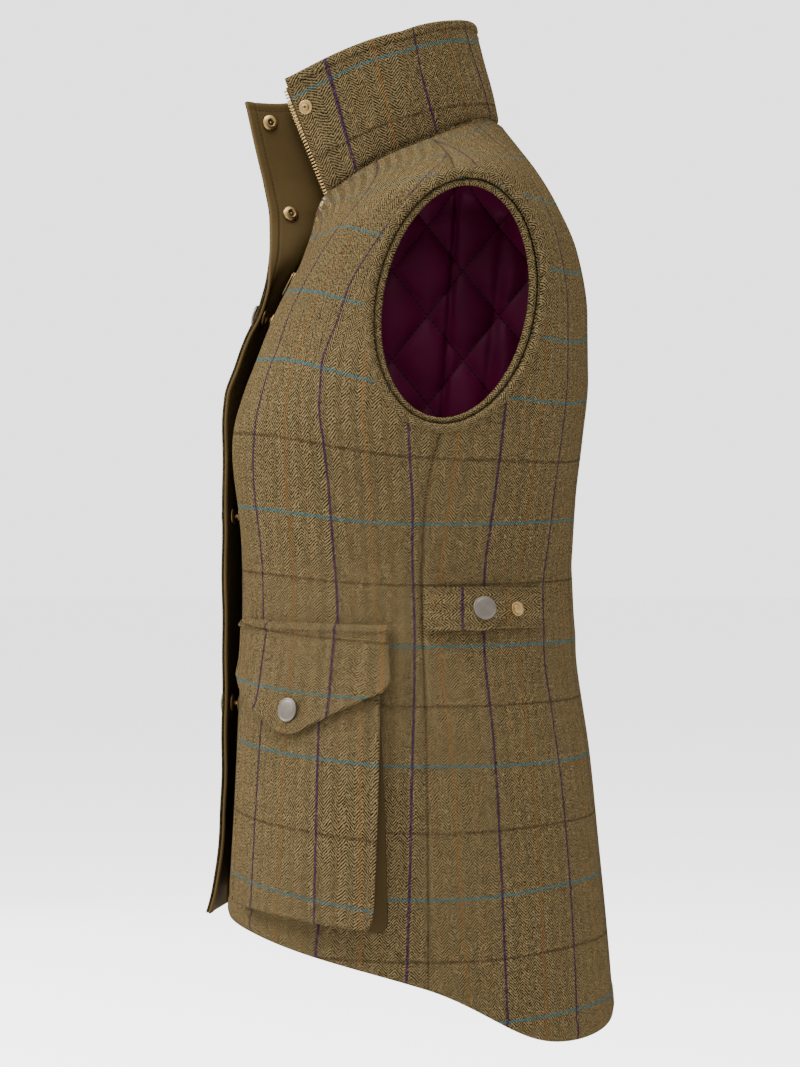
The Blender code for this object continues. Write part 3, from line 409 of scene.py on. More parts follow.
# Herringbone: a triangle wave across bends the twill's diagonal stripes, and the overcheck's lines lie
# at set distances of the cloth's coordinates, broken by the same stripes.
def tweedLook(name, shade, overcheck=True, turned=False):
    look, tree, shader = newLook(name, 0.93, gloss=0.0)
    x, y = clothXY(tree)
    rib, up = (y, x) if turned else (x, y)
    wobble = calc(tree, "MULTIPLY", calc(tree, "SUBTRACT", grain(tree, 7.0, 4.0), 0.5), 3.4)
    zig = calc(tree, "PINGPONG", rib, tweed["rib"])
    slanted = calc(tree, "ADD", calc(tree, "ADD", up, wobble), calc(tree, "MULTIPLY", zig, tweed["slope"]))
    wave = calc(tree, "SINE", calc(tree, "MULTIPLY", slanted, 2 * np.pi / tweed["twill"]))
    twill = calc(tree, "MULTIPLY_ADD", wave, 0.65, 0.5, clamp=True)
    fuzz = grain(tree, 1.25, 3.0)
    weave = calc(tree, "MULTIPLY_ADD", calc(tree, "SUBTRACT", fuzz, 0.5), 3.0, twill, clamp=True)
    colour = mixed(tree, weave, tweed["dark"], tweed["light"])
    moss = calc(tree, "GREATER_THAN", grain(tree, 1.9, 2.0, (1.0, 1.0, 1.4)), 0.56)
    moss = calc(tree, "MULTIPLY", moss, 0.38)
    colour = mixed(tree, moss, colour, tweed["moss"])
    fleck = calc(tree, "GREATER_THAN", grain(tree, 1.3, 1.0, (1.3, 1.3, 0.9)), 0.66)
    fleck = calc(tree, "MULTIPLY", fleck, 0.55)
    colour = mixed(tree, fleck, colour, tweed["fleck"])
    column = calc(tree, "PINGPONG", calc(tree, "ADD", rib, tweed["rib"] / 2), tweed["rib"])
    column = calc(tree, "GREATER_THAN", column, tweed["rib"] / 2)
    colour = mixed(tree, calc(tree, "MULTIPLY", column, 0.10), colour, tweed["dark"])
    if overcheck:
        across, down = check["across"], check["down"]
        warp = calc(tree, "PINGPONG", x, across / 2)
        weft = calc(tree, "PINGPONG", y, down / 2)
        upper = calc(tree, "GREATER_THAN", y, tweed["bustLine"] * down)
        broken = calc(tree, "MULTIPLY_ADD", twill, 0.75, 0.25)
        faded = calc(tree, "SUBTRACT", calc(tree, "DIVIDE", y, down), 5.75, clamp=True)
        faded = calc(tree, "MULTIPLY_ADD", faded, -0.4, 1.0)
        broken = calc(tree, "MULTIPLY", broken, faded)
        halfWarp = calc(tree, "SUBTRACT", across / 2, warp)
        halfWeft = calc(tree, "SUBTRACT", down / 2, weft)
        quarter = calc(tree, "ABSOLUTE", calc(tree, "SUBTRACT", warp, across / 4))
        notUpper = calc(tree, "SUBTRACT", 1.0, upper)
        for distance, width, strength, tint, where in (
            (quarter, tweed["halfRust"], 0.16, "rust", None),
            (halfWarp, tweed["halfRust"], 0.60, "rust", None),
            (halfWeft, tweed["halfBrown"], 0.55, "brown", notUpper),
            (halfWeft, tweed["halfBlue"], 0.85, "blue", upper),
            (weft, tweed["halfBlue"], 0.85, "blue", None),
            (warp, tweed["halfPurple"], 0.95, "purple", None),
        ):
            mask = calc(tree, "MULTIPLY", lineMask(tree, distance, width, 0.7), broken)
            mask = calc(tree, "MULTIPLY", mask, strength)
            if where is not None:
                mask = calc(tree, "MULTIPLY", mask, where)
            colour = mixed(tree, mask, colour, tweed[tint])
    patch = calc(tree, "MULTIPLY_ADD", grain(tree, 60.0, 3.0), 0.5, 0.0)
    colour = mixed(tree, calc(tree, "MULTIPLY", patch, shade), colour, tweed["dark"])
    tree.links.new(colour, shader.inputs["Base Color"])
    height = calc(tree, "MULTIPLY_ADD", fuzz, 0.6, calc(tree, "MULTIPLY", twill, 0.7))
    addBump(tree, shader, height, tweed["depth"], tweed["bump"])
    return look


moleskin = {"base": (0.024, 0.0148, 0.0048), "pale": (0.046, 0.030, 0.0105)}


# Brushed cotton: two olives mixed by fine and broad noise, with a soft sheen. A shade below 1 darkens both
# olives: painted shade.
def moleskinLook(name, ribs=0.0, shade=1.0):
    look, tree, shader = newLook(name, 0.82, gloss=0.04)
    y = clothXY(tree)[1]
    nap = grain(tree, 0.9, 3.0, (1, 1, 0.5))
    broad = grain(tree, 25.0, 2.0)
    share = calc(tree, "MULTIPLY_ADD", nap, 0.35, calc(tree, "MULTIPLY", broad, 0.35), clamp=True)
    if ribs:
        wave = calc(tree, "SINE", calc(tree, "MULTIPLY", y, 2 * np.pi / ribs))
        share = calc(tree, "ADD", share, calc(tree, "MULTIPLY_ADD", wave, 0.2, 0.2), clamp=True)
    base, pale = [tuple(shade * level for level in moleskin[tone]) for tone in ("base", "pale")]
    tree.links.new(mixed(tree, share, base, pale), shader.inputs["Base Color"])
    addBump(tree, shader, share, 0.2, 0.3)
    return look


satin = {
    "deep": (0.032, 0.0003, 0.0095), "bright": (0.085, 0.0012, 0.0300), "thread": (0.003, 0.0002, 0.001),
    "wide": 56.0, "tall": 70.0, "lineHalf": 0.35,
}


# Quilted satin: the stitches lie where either slanted coordinate is whole, and fine ribs catch light.
def satinLook(name):
    look, tree, shader = newLook(name, 0.5, gloss=0.08)
    x, y = clothXY(tree)
    flow = grain(tree, 40.0, 2.0)
    colour = mixed(tree, flow, satin["deep"], satin["bright"])
    right, up = calc(tree, "DIVIDE", x, satin["wide"]), calc(tree, "DIVIDE", y, satin["tall"])
    dash = calc(tree, "GREATER_THAN", calc(tree, "PINGPONG", y, 1.6), 0.45)
    masks = []
    for slanted in (calc(tree, "ADD", right, up), calc(tree, "SUBTRACT", right, up)):
        away = calc(tree, "MULTIPLY", calc(tree, "PINGPONG", slanted, 0.5), 43.7)
        masks.append(lineMask(tree, away, satin["lineHalf"], 0.5))
    line = calc(tree, "MULTIPLY", calc(tree, "MAXIMUM", *masks), dash)
    colour = mixed(tree, calc(tree, "MULTIPLY", line, 0.8), colour, satin["thread"])
    tree.links.new(colour, shader.inputs["Base Color"])
    ribs = calc(tree, "SINE", calc(tree, "MULTIPLY", y, 9.0))
    addBump(tree, shader, calc(tree, "MULTIPLY_ADD", ribs, 0.3, grain(tree, 2.5, 2.0)), 0.12, 0.25)
    return look


# Worn metal: a bright and a tarnished tone mixed by noise, rougher where it is tarnished.
def metalLook(name, bright, dull, rough):
    look, tree, shader = newLook(name, rough, metal=1.0)
    spots = calc(tree, "SUBTRACT", grain(tree, 6.0, 3.0), 0.5)
    tarnish = calc(tree, "MULTIPLY_ADD", spots, 0.9, 0.35, clamp=True)
    tree.links.new(mixed(tree, tarnish, bright, dull), shader.inputs["Base Color"])
    tree.links.new(calc(tree, "MULTIPLY_ADD", tarnish, 0.22, rough), shader.inputs["Roughness"])
    addBump(tree, shader, grain(tree, 0.5, 2.0), 0.02, 0.12)
    return look


def threadLook(name, light, dark):
    look, tree, shader = newLook(name, 0.7, sheen=0.03)
    tree.links.new(mixed(tree, grain(tree, 0.6, 2.0), dark, light), shader.inputs["Base Color"])
    addBump(tree, shader, grain(tree, 0.4, 2.0), 0.1, 0.3)
    return look


looks = {
    "tweed": tweedLook("herringboneTweed", 0.30),
    "tweedPlain": tweedLook("tweedOffcut", 0.35, overcheck=False),
    "tweedTurned": tweedLook("tweedAcross", 0.30, turned=True),
    "moleskin": moleskinLook("oliveMoleskin"),
    # The pleat's copy is darker by its shade: painted shade for the gusset that lies in the bag's shadow.
    "pleat": moleskinLook("pleatMoleskinPaintedShade", shade=0.55),
    "tape": moleskinLook("zipTape", ribs=1.1),
    "satin": satinLook("plumSatin"),
    "brass": metalLook("agedBrass", (0.21, 0.140, 0.056), (0.10, 0.062, 0.022), 0.30),
    "nickel": metalLook("antiqueNickel", (0.090, 0.079, 0.066), (0.048, 0.040, 0.032), 0.38),
    # The dark look is near-black metal laid in the socket hollows and stud holes: painted shade in those
    # recesses.
    "dark": metalLook("paintedShadeWell", (0.05, 0.04, 0.03), (0.02, 0.015, 0.01), 0.5),
    "thread": threadLook("oliveThread", (0.052, 0.034, 0.0125), (0.020, 0.0125, 0.0045)),
    "oliveThread": threadLook("facingThread", (0.034, 0.022, 0.0075), (0.014, 0.009, 0.003)),
}
print("looks ready:", len(looks))


# A mesh from whole arrays: points in mm, faces of four corners, and cloth coordinates at each corner.
def addPiece(name, points, faces, look, corners=None, nodes=(), body="garment"):
    mesh = bpy.data.meshes.new(name)
    faces = np.asarray(faces)
    mesh.vertices.add(len(points))
    mesh.vertices.foreach_set("co", (np.asarray(points) * 0.001).astype(np.float32).ravel())
    mesh.loops.add(faces.size)
    mesh.loops.foreach_set("vertex_index", faces.astype(np.int32).ravel())
    mesh.polygons.add(len(faces))
    mesh.polygons.foreach_set("loop_start", np.arange(0, faces.size, 4, dtype=np.int32))
    mesh.update(calc_edges=True)
    mesh.polygons.foreach_set("use_smooth", np.ones(len(faces), bool))
    layer = mesh.uv_layers.new(name="cloth")
    if corners is None:
        corners = np.zeros((faces.size, 2))
    layer.data.foreach_set("uv", np.asarray(corners, np.float32).reshape(-1, 2).ravel())
    mesh.validate()
    mesh.materials.append(looks[look])
    piece = bpy.data.objects.new(name, mesh)
    bpy.context.scene.collection.objects.link(piece)
    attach(piece, body)
    if nodes:
        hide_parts(*nodes)
    return piece


# A cloth wall: an outer and an inner grid of points, closed round their edges.
def addWall(name, outer, inner, cloth, look, slot, nodes=(), closed=False):
    rows, columns = outer.shape[:2]
    spot = np.arange(rows * columns).reshape(rows, columns)
    if closed:
        spot = np.hstack([spot, spot[:, :1]])
    mark = np.arange(cloth.shape[0] * cloth.shape[1]).reshape(cloth.shape[:2])

    def cornersOf(grid):
        return np.stack([grid[:-1, :-1], grid[:-1, 1:], grid[1:, 1:], grid[1:, :-1]], -1).reshape(-1, 4)

    skin, skinMark, far = cornersOf(spot), cornersOf(mark), rows * columns
    faces, marks = [skin, skin[:, ::-1] + far], [skinMark, skinMark[:, ::-1]]
    edges = [(spot[0], mark[0], 1), (spot[-1], mark[-1], -1)]
    if not closed:
        edges += [(spot[:, 0], mark[:, 0], -1), (spot[:, -1], mark[:, -1], 1)]
    for line, lineMark, turn in edges:
        rim = np.stack([line[:-1], line[:-1] + far, line[1:] + far, line[1:]], -1)
        rimMark = np.stack([lineMark[:-1], lineMark[:-1], lineMark[1:], lineMark[1:]], -1)
        faces.append(rim[:, ::turn])
        marks.append(rimMark[:, ::turn])
    points = np.vstack([outer.reshape(-1, 3), inner.reshape(-1, 3)])
    corners = cloth.reshape(-1, 2)[np.vstack(marks).ravel()]
    return addPiece(name, points, np.vstack(faces), look, corners, nodes)


def mirrored(grid, flip=(-1, 1, 1)):
    return grid[:, ::-1] * flip


# Distance in mm from each grid point to the grid's four borders, along its rows and columns.
def borderWays(points):
    across = np.linalg.norm(np.diff(points, axis=1), axis=-1)
    up = np.linalg.norm(np.diff(points, axis=0), axis=-1)
    first = np.concatenate([np.zeros((points.shape[0], 1)), np.cumsum(across, axis=1)], axis=1)
    low = np.concatenate([np.zeros((1, points.shape[1])), np.cumsum(up, axis=0)], axis=0)
    return first, first[:, -1:] - first, low, low[-1:] - low


# A rolled edge: the wall thins to a rounded rim over the last few mm.
def rolled(way, wide):
    s = np.clip(way / wide, 0, 1)
    return np.sqrt(1 - (1 - s) ** 2)


# A bell curve: 1 at no distance, and nearly nothing at twice its width.
def bell(distance, wide):
    return np.exp(-(distance / wide) ** 2)


# Soft creases: y and z of both ends on the side view, width and depth in mm. Minus is a ridge.
creases = (
    (-64, 2, -44, -22, 7, 1.1), (-40, 4, -20, -26, 8, -1.0), (-92, -92, -60, -60, 12, 1.0),
    (14, -322, -38, -352, 9, 1.2), (12, -345, -30, -386, 11, -1.0), (8, -300, -52, -296, 12, 0.9),
    (96, -318, 124, -300, 10, 1.1), (96, -340, 126, -352, 10, -0.9), (-88, -300, -58, -312, 12, 1.2),
    (10, -206, -18, -256, 10, 1.2), (34, -206, 44, -262, 12, -1.0), (88, -190, 104, -250, 12, 1.1),
    (60, -420, 74, -560, 20, 1.6), (108, -400, 126, -580, 22, -1.8), (20, -400, 22, -560, 12, 0.8),
    (112, -60, 126, -150, 12, 0.9), (-30, -200, -66, -262, 16, 1.0), (30, -10, 62, 6, 9, 0.8),
)


# The sum of soft creases, each a bell curve of the distance to a segment, and a slow waviness.
def creased(points):
    y, z = points[..., 1], points[..., 2]
    depth = 0.35 * np.sin(y / 23 + np.sin(z / 41)) * np.sin(z / 37 + 1.3 * np.sin(y / 52))
    for yA, zA, yB, zB, wide, deep in creases:
        run = np.array([yB - yA, zB - zA], float)
        share = np.clip(((y - yA) * run[0] + (z - zA) * run[1]) / (run @ run), 0, 1)
        away = np.hypot(y - yA - share * run[0], z - zA - share * run[1])
        fades = 0.35 + 0.65 * np.sin(np.pi * np.clip(share, 0.08, 0.92))
        depth = depth - deep * bell(away, wide) * fades
    return depth


# The way along a line of points, and the line's place at any way.
def wayAlong(path):
    return np.concatenate([[0], np.cumsum(np.linalg.norm(np.diff(path, axis=0), axis=1))])


def pathAt(path, way, at):
    return np.stack([np.interp(at, way, column) for column in path.T], -1)


# Stitches: small spindles laid end to end along a line of points, lifted off the cloth at their middle.
stitch = {"long": 2.3, "pitch": 3.1, "thick": 0.36, "sides": 6}


def addStitches(name, paths, look, pitch=None, size=1.0):
    pitch = pitch or stitch["pitch"]
    places, ways, outs = [], [], []
    for path, out in paths:
        way = wayAlong(path)
        at = np.arange(pitch / 2, way[-1], pitch)
        places.append(pathAt(path, way, at))
        ways.append(pathAt(path, way, at + 0.5) - pathAt(path, way, at - 0.5))
        outs.append(pathAt(out, way, at))
    centre, run, out = np.vstack(places), np.vstack(ways), np.vstack(outs)
    run /= np.linalg.norm(run, axis=1, keepdims=True)
    side = np.cross(run, out)
    side /= np.linalg.norm(side, axis=1, keepdims=True)
    out = np.cross(side, run)
    sides = stitch["sides"]
    turn = np.arange(sides) * 2 * np.pi / sides
    step = np.array([-0.5, -0.42, 0.0, 0.42, 0.5])
    fat = np.array([0.05, 0.75, 1.0, 0.75, 0.05]) * stitch["thick"] * size
    lift = np.array([-0.25, 0.02, 0.16, 0.02, -0.25])
    local = np.stack([
        np.repeat(step * stitch["long"] * size, sides),
        (fat[:, None] * np.cos(turn)).ravel(),
        (fat[:, None] * np.sin(turn) + lift[:, None]).ravel(),
    ], -1)
    return addCopies(name, local, tubeFaces(len(step), sides), centre, run, side, out, look)


# The line on a grid at a distance from one of its borders, with its normals, less a length at each end.
def lineAt(outer, normal, way, distance, axis, cut=0.0):
    if axis == 1:
        outer, normal, way = outer.swapaxes(0, 1), normal.swapaxes(0, 1), way.T
    if way[0, 0] > way[-1, 0]:
        outer, normal, way = outer[::-1], normal[::-1], way[::-1]
    k, column = np.clip((way < distance).sum(0) - 1, 0, len(way) - 2), np.arange(way.shape[1])
    share = np.clip((distance - way[k, column]) / (way[k + 1, column] - way[k, column]), 0, 1)[:, None]
    line = outer[k, column] * (1 - share) + outer[k + 1, column] * share
    out = normal[k, column]
    run = wayAlong(line)
    kept = (run >= cut) & (run <= run[-1] - cut)
    return line[kept] + 0.1 * out[kept], out[kept]


def flipped(path):
    return tuple(points * (-1, 1, 1) for points in path)


# A welt along an edge: raised up to its row of stitches, where the cloth is pulled in.
def welted(way, wide, raised, deep):
    return raised / (1 + np.exp((way - wide) / 0.6)) - deep * bell(way - wide, 0.9)


# Both skins of a cloth wall: the cloth's top side out by a rise, its rims rounded.
def skins(points, normal, rise, wall, edge):
    outer = points + normal * (rise - 0.5 * wall * (1 - edge))[..., None]
    inner = points + normal * (rise - wall + 0.45 * wall * (1 - edge))[..., None]
    return outer, inner


def addPair(name, outer, inner, cloth, look, slot, node):
    left = addWall(name + "Left", outer, inner, cloth, look, slot, [node + "_left"])
    right = addWall(name + "Right", mirrored(outer), mirrored(inner), mirrored(cloth, (1, 1)), look, slot,
                    [node + "_right"])


# A tube's quads from rings of one even size, its two ends closed with strips of quads.
def tubeFaces(rings, sides):
    ring, k = np.meshgrid(np.arange(rings - 1), np.arange(sides), indexing="ij")
    here, there = ring * sides + k, ring * sides + (k + 1) % sides
    skin = np.stack([here, here + sides, there + sides, there], -1).reshape(-1, 4)
    k = np.arange(sides // 2 - 1)
    lid = np.stack([k, k + 1, sides - 2 - k, sides - 1 - k], -1)
    return np.vstack([skin, lid, lid[:, ::-1] + (rings - 1) * sides])


# Copies of one small shape, each turned to its own three directions.
def addCopies(name, local, one, centre, run, side, out, look, nodes=(), body="garment"):
    points = centre[:, None] + run[:, None] * local[:, :1] + side[:, None] * local[:, 1:2]
    points = points + out[:, None] * local[:, 2:]
    faces = (one[None] + (np.arange(len(centre)) * len(local))[:, None, None]).reshape(-1, 4)
    return addPiece(name, points.reshape(-1, 3), faces, look, nodes=nodes, body=body)


panel = {
    "frontColumns": 110, "backColumns": 210, "rows": {"skirt": 120, "arm": 90, "shoulder": 22},
    "seamRises": ((0, 0.75, -1.15), (0, 3.2, -0.45), (4, 2, 0.3)), "hemFold": 15.0,
    "hemRises": ((15.0, 1.1, -1.0), (8, 6, 0.6)), "rollWide": 2.2,
}


# A panel's skin: its surface, creased, with bell curves beside its seams and over its stitched hem.
# Each rise is its distance from the edge, its width and its height.
def panelSkin(angle, ring, seamBorders):
    points, normal, _ = frameAt(angle, ring)
    ways = borderWays(points)
    out = creased(points) * np.clip(np.minimum.reduce(ways) / 12, 0.1, 1)
    for k in seamBorders:
        for away, wide, high in panel["seamRises"]:
            out = out + high * bell(ways[k] - away, wide)
    for away, wide, high in panel["hemRises"]:
        out = out + high * bell(ways[2] - away, wide)
    free = [ways[k] for k in range(4) if k not in seamBorders] + [1e3 + 0 * ways[0]]
    edge = rolled(np.minimum.reduce(free), panel["rollWide"])
    wall = form["wall"]
    outer = points + normal * (out - 0.5 * wall * (1 - edge))[..., None]
    inner = points + normal * (-wall + 0.45 * wall * (1 - edge))[..., None]
    return points, normal, outer, inner


def hemPath(outer, normal, ways, distance):
    k = np.argmin(np.abs(ways - distance), axis=0)
    column = np.arange(outer.shape[1])
    return outer[k, column] + normal[k, column] * 0.15, normal[k, column]


def makePanels():
    hems = {}
    for side, columns in (("front", panel["frontColumns"]), ("back", panel["backColumns"])):
        grid = frontGrid(columns, panel["rows"]) if side == "front" else backGrid(columns, panel["rows"])
        points, normal, outer, inner = panelSkin(*grid, (1, 3) if side == "front" else (0, 1, 3))
        cloth = clothOn(side, *grid)
        hem = hemPath(outer, normal, borderWays(points)[2], panel["hemFold"])
        if side == "front":
            addPair("front", outer, inner, cloth, "tweed", "tweed", "front")
            hems["hemStitchesFront"] = [hem, flipped(hem)]
        else:
            addWall("backPanel", outer, inner, cloth, "tweed", "tweed", ["back"])
            hems["hemStitchesBack"] = [hem]
    for name, paths in hems.items():
        addStitches(name, paths, "thread", size=0.8)


makePanels()
print("panels made")

collar = {
    "wall": 2.4, "bandWall": 3.4, "bandOut": 0.5, "bandFrom": 13.9, "columns": 300,
    "warps": (0, 65, 100, 145, 180), "warpNumbers": (-1.0, 0.0, 1.0, 2.0, 2.55),
    "weftBelowTop": 15.5, "groove": 0.8, "lean": 14.0, "swell": 0.9, "foldTall": 0.3, "foldLean": 14.0,
    "folds": (
        (24, 1.5, 5), (38, -1.3, 5), (55, 1.6, 6), (70, -1.0, 6), (92, 1.0, 8), (120, -0.8, 9), (150, 0.8, 9),
    ),
}


# The stand leans up its rulings. Its wefts are counted down from its top edge, its warps round it.
def makeCollar():
    neck, top, bandFrom, step = form["neck"], form["top"], collar["bandFrom"], form["seamStep"]
    for name, node, low, high, rows, wall, out in (
        ("standCollar", "collar", neck + step, bandFrom + 0.03, 46, collar["wall"], 0.0),
        ("collarBand", "collar_band", bandFrom + step, top, 14, collar["bandWall"], collar["bandOut"]),
    ):
        ring = np.linspace(low, high, rows)
        start = edgeAngle(ring)
        angle, ring = gridOf(start, 2 * np.pi - start, ring, collar["columns"])
        points, normal, _ = frameAt(angle, ring)
        ways = borderWays(points)
        rise = out + 0 * angle
        degrees = np.degrees(np.arccos(np.cos(angle)))
        if name == "standCollar":
            foot = bell(ring - neck, collar["foldTall"])
            for middle, deep, wide in collar["folds"]:
                away = degrees - middle - collar["foldLean"] * (ring - neck)
                rise -= deep * foot * bell(away, wide)
            rise += collar["swell"] * (bell(ring - 13.3, 0.25) - bell(ways[2], 2.2))
            rise -= collar["groove"] * bell(ways[3], 1.3)
        else:
            rise += 0.5 * np.sin(np.pi * np.clip(ways[2] / (ways[2] + ways[3]), 0, 1)) ** 0.6
            rise -= collar["groove"] * bell(ways[2], 1.1)
        edge = rolled(np.minimum.reduce(ways), 2.4)
        outer = points + normal * (rise - 0.5 * wall * (1 - edge))[..., None]
        inner = points + normal * (out - wall + 0.45 * wall * (1 - edge))[..., None]
        tall = np.linalg.norm(surfaceAt(angle, top) - surfaceAt(angle, neck), axis=-1)
        fromTop = (top - ring) * tall
        cloth = np.stack([
            np.interp(degrees, collar["warps"], collar["warpNumbers"]) * check["across"]
            + collar["lean"] * (ring - 13.5) * np.clip((degrees - 65) / 35, 0, 1),
            collar["weftBelowTop"] - fromTop + 5 * check["down"],
        ], -1)
        addWall(name, outer, inner, cloth, "tweed", "tweed", [node])
        if name == "standCollar":
            k = -4
            addStitches("collarStitches", [(outer[k] + normal[k] * 0.1, normal[k])], "thread", size=0.7)


makeCollar()
print("collar made")

armEdge = {
    "bandWide": 6.4, "bandHigh": 2.8, "bandSeat": 0.25, "groove": 0.9,
    "into": 4.4, "under": 3.4, "facingWall": 1.5, "facingHigh": 2.4, "clear": 2.1, "turns": 260,
}


# Round the armhole run two rolls: an outer one that stands on the panels and an inner one, the turned
# facing, which goes into the opening. Each is a half oval carried along the edge.
def makeArmholeEdges():
    turn = -np.arange(armEdge["turns"]) * 2 * np.pi / armEdge["turns"]
    share = np.linspace(0, 1, 9)[:, None]
    across, under = armEdge["under"] + armEdge["into"], -form["wall"] - armEdge["clear"]
    for name, node, grows, seat, high, foot in (
        ("armholeBand", "armhole_band", armEdge["bandWide"] * (1 - share), armEdge["bandSeat"],
         armEdge["bandHigh"], armEdge["bandSeat"] - 0.3),
        ("armholeFacing", "armhole_facing", armEdge["under"] - across * share, under,
         armEdge["facingHigh"], under - armEdge["facingWall"]),
    ):
        rows = [armholeAt(turn, float(grow)) for grow in grows.ravel()]
        angle, ring = np.stack([row[0] for row in rows]), np.stack([row[1] for row in rows])
        points, normal, _ = frameAt(angle, ring)
        arch = np.sqrt(np.clip(1 - (2 * share - 1) ** 2, 0, 1))
        if name == "armholeFacing":
            arch = np.where(share < 0.45, 0.0, np.sqrt(np.clip(1 - ((share - 0.74) / 0.27) ** 2, 0, 1)))
        pucker = 0.16 * np.sin(turn * 47) + 0.16 * np.sin(turn * 71 + 1) + 0.2 * np.sin(turn * 11 + 2)
        outer = points + normal * (seat + high * arch + pucker[None, :] * arch)[..., None]
        inner = points + normal * foot
        way = np.linalg.norm(np.diff(points[4], axis=0, append=points[4][:1]), axis=1)
        run = np.concatenate([[0], np.cumsum(way)])
        cloth = np.stack(np.broadcast_arrays(run[None, :] + 4, 9.0 * share + 40), -1)
        left, right = (outer, inner, cloth), (mirrored(outer), mirrored(inner), mirrored(cloth, (1, 1)))
        for side, wall in (("Left", left), ("Right", right)):
            nodes = [f"{node}_{side.lower()}"]
            piece = addWall(name + side, *wall, "tweedPlain", "tweed_edge", nodes, closed=True)


makeArmholeEdges()
print("armhole edges made")

lining = {
    "drop": 2.2, "wall": 1.4, "puff": 3.4, "edge": 10.0, "hem": 0.3, "grow": 4.1,
    "rows": {"skirt": 96, "arm": 80, "shoulder": 20}, "frontColumns": 80, "backColumns": 150,
}


# Quilting: the puff is the product of two slanted sine waves, so it is nothing on the stitched lines.
def quiltPuff(across, up):
    right, high = across / satin["wide"], up / satin["tall"]
    return (np.abs(np.sin(np.pi * (right + high))) * np.abs(np.sin(np.pi * (right - high)))) ** 0.45


def makeLinings():
    top, rows = -(form["wall"] + lining["drop"]), lining["rows"]
    hem, grow = lining["hem"], lining["grow"]
    for side in ("front", "back"):
        if side == "front":
            angle, ring = frontGrid(lining["frontColumns"], rows, -lining["edge"], hem, grow)
        else:
            angle, ring = backGrid(lining["backColumns"], rows, hem, grow)
        points, normal, _ = frameAt(angle, ring)
        across, up = sampled("round", angle, ring), sampled("up", angle, ring)
        edge = np.clip(np.minimum.reduce(borderWays(points)) / 8, 0, 1)
        puff = lining["puff"] * quiltPuff(across, up) * edge
        outer = points + normal * top
        inner = points + normal * (top - lining["wall"] - puff)[..., None]
        cloth = np.stack([across, up], -1)
        if side == "front":
            addPair("liningFront", outer, inner, cloth, "satin", "plum_satin", "lining_front")
        else:
            piece = addWall("liningBack", outer, inner, cloth, "satin", "plum_satin", ["lining_back"])


makeLinings()

drape = {
    "reach": 112.0, "inset": 9.0, "angles": (38, 146), "rings": (3.2, 12.2), "columns": 150, "rows": 150,
    "wall": 1.2, "puff": 7.5, "seamY": 38.0, "seamLean": 0.066, "seamDeep": 4.5, "seamWide": 2.2,
    "soft": 10.0, "folds": ((96, 9, -2.0), (84, 5, 3.0)),
}


# The loose layer of quilted lining that hangs inside the right armhole: the body's inside, held back to
# a plane beside the armhole by a soft minimum, with a seam pressed in down its middle.
def makeDrape():
    low, high = np.radians(drape["angles"])
    ring = np.linspace(*drape["rings"], drape["rows"])[:, None]
    angle = np.linspace(low, high, drape["columns"])[None, :]
    points = movedOut(angle, ring, -drape["inset"])
    soft = drape["soft"]
    held = np.exp(-np.clip(points[..., 0], 0, 400) / soft) + np.exp(-drape["reach"] / soft)
    points[..., 0] = -soft * np.log(held)
    y, z = points[..., 1], points[..., 2]
    puff = drape["puff"] * quiltPuff(y + 8, z)
    seam = y - drape["seamY"] - drape["seamLean"] * (z + 95)
    crease = drape["seamDeep"] * bell(seam, drape["seamWide"])
    for place, wide, deep in drape["folds"]:
        crease += deep * bell(y - place - 0.1 * z, wide)
    outer = points * (-1, 1, 1)
    outer[..., 0] += puff - crease
    inner = outer - np.array([drape["wall"], 0, 0])
    cloth = np.stack([y + 8, z], -1)
    piece = addWall("looseLining", outer, inner, cloth, "satin", "plum_satin")


makeDrape()
print("linings made")

zipper = {
    "foot": 0.25, "head": 13.93, "tapeFrom": 3.9, "under": 6.5, "tapeWall": 0.8,
    "proud": 0.8, "teethWall": 2.4, "collarDeeper": 1.2, "rows": 420, "gap": 0.3,
    "pitch": 2.45, "middle": 4.75, "sides": 8,
}


def zipDepth(ring):
    deeper = collar["wall"] - form["wall"] + zipper["collarDeeper"]
    return form["wall"] + 2 * zipper["gap"] + deeper * np.clip(ring - form["neck"] + 1, 0, 1)


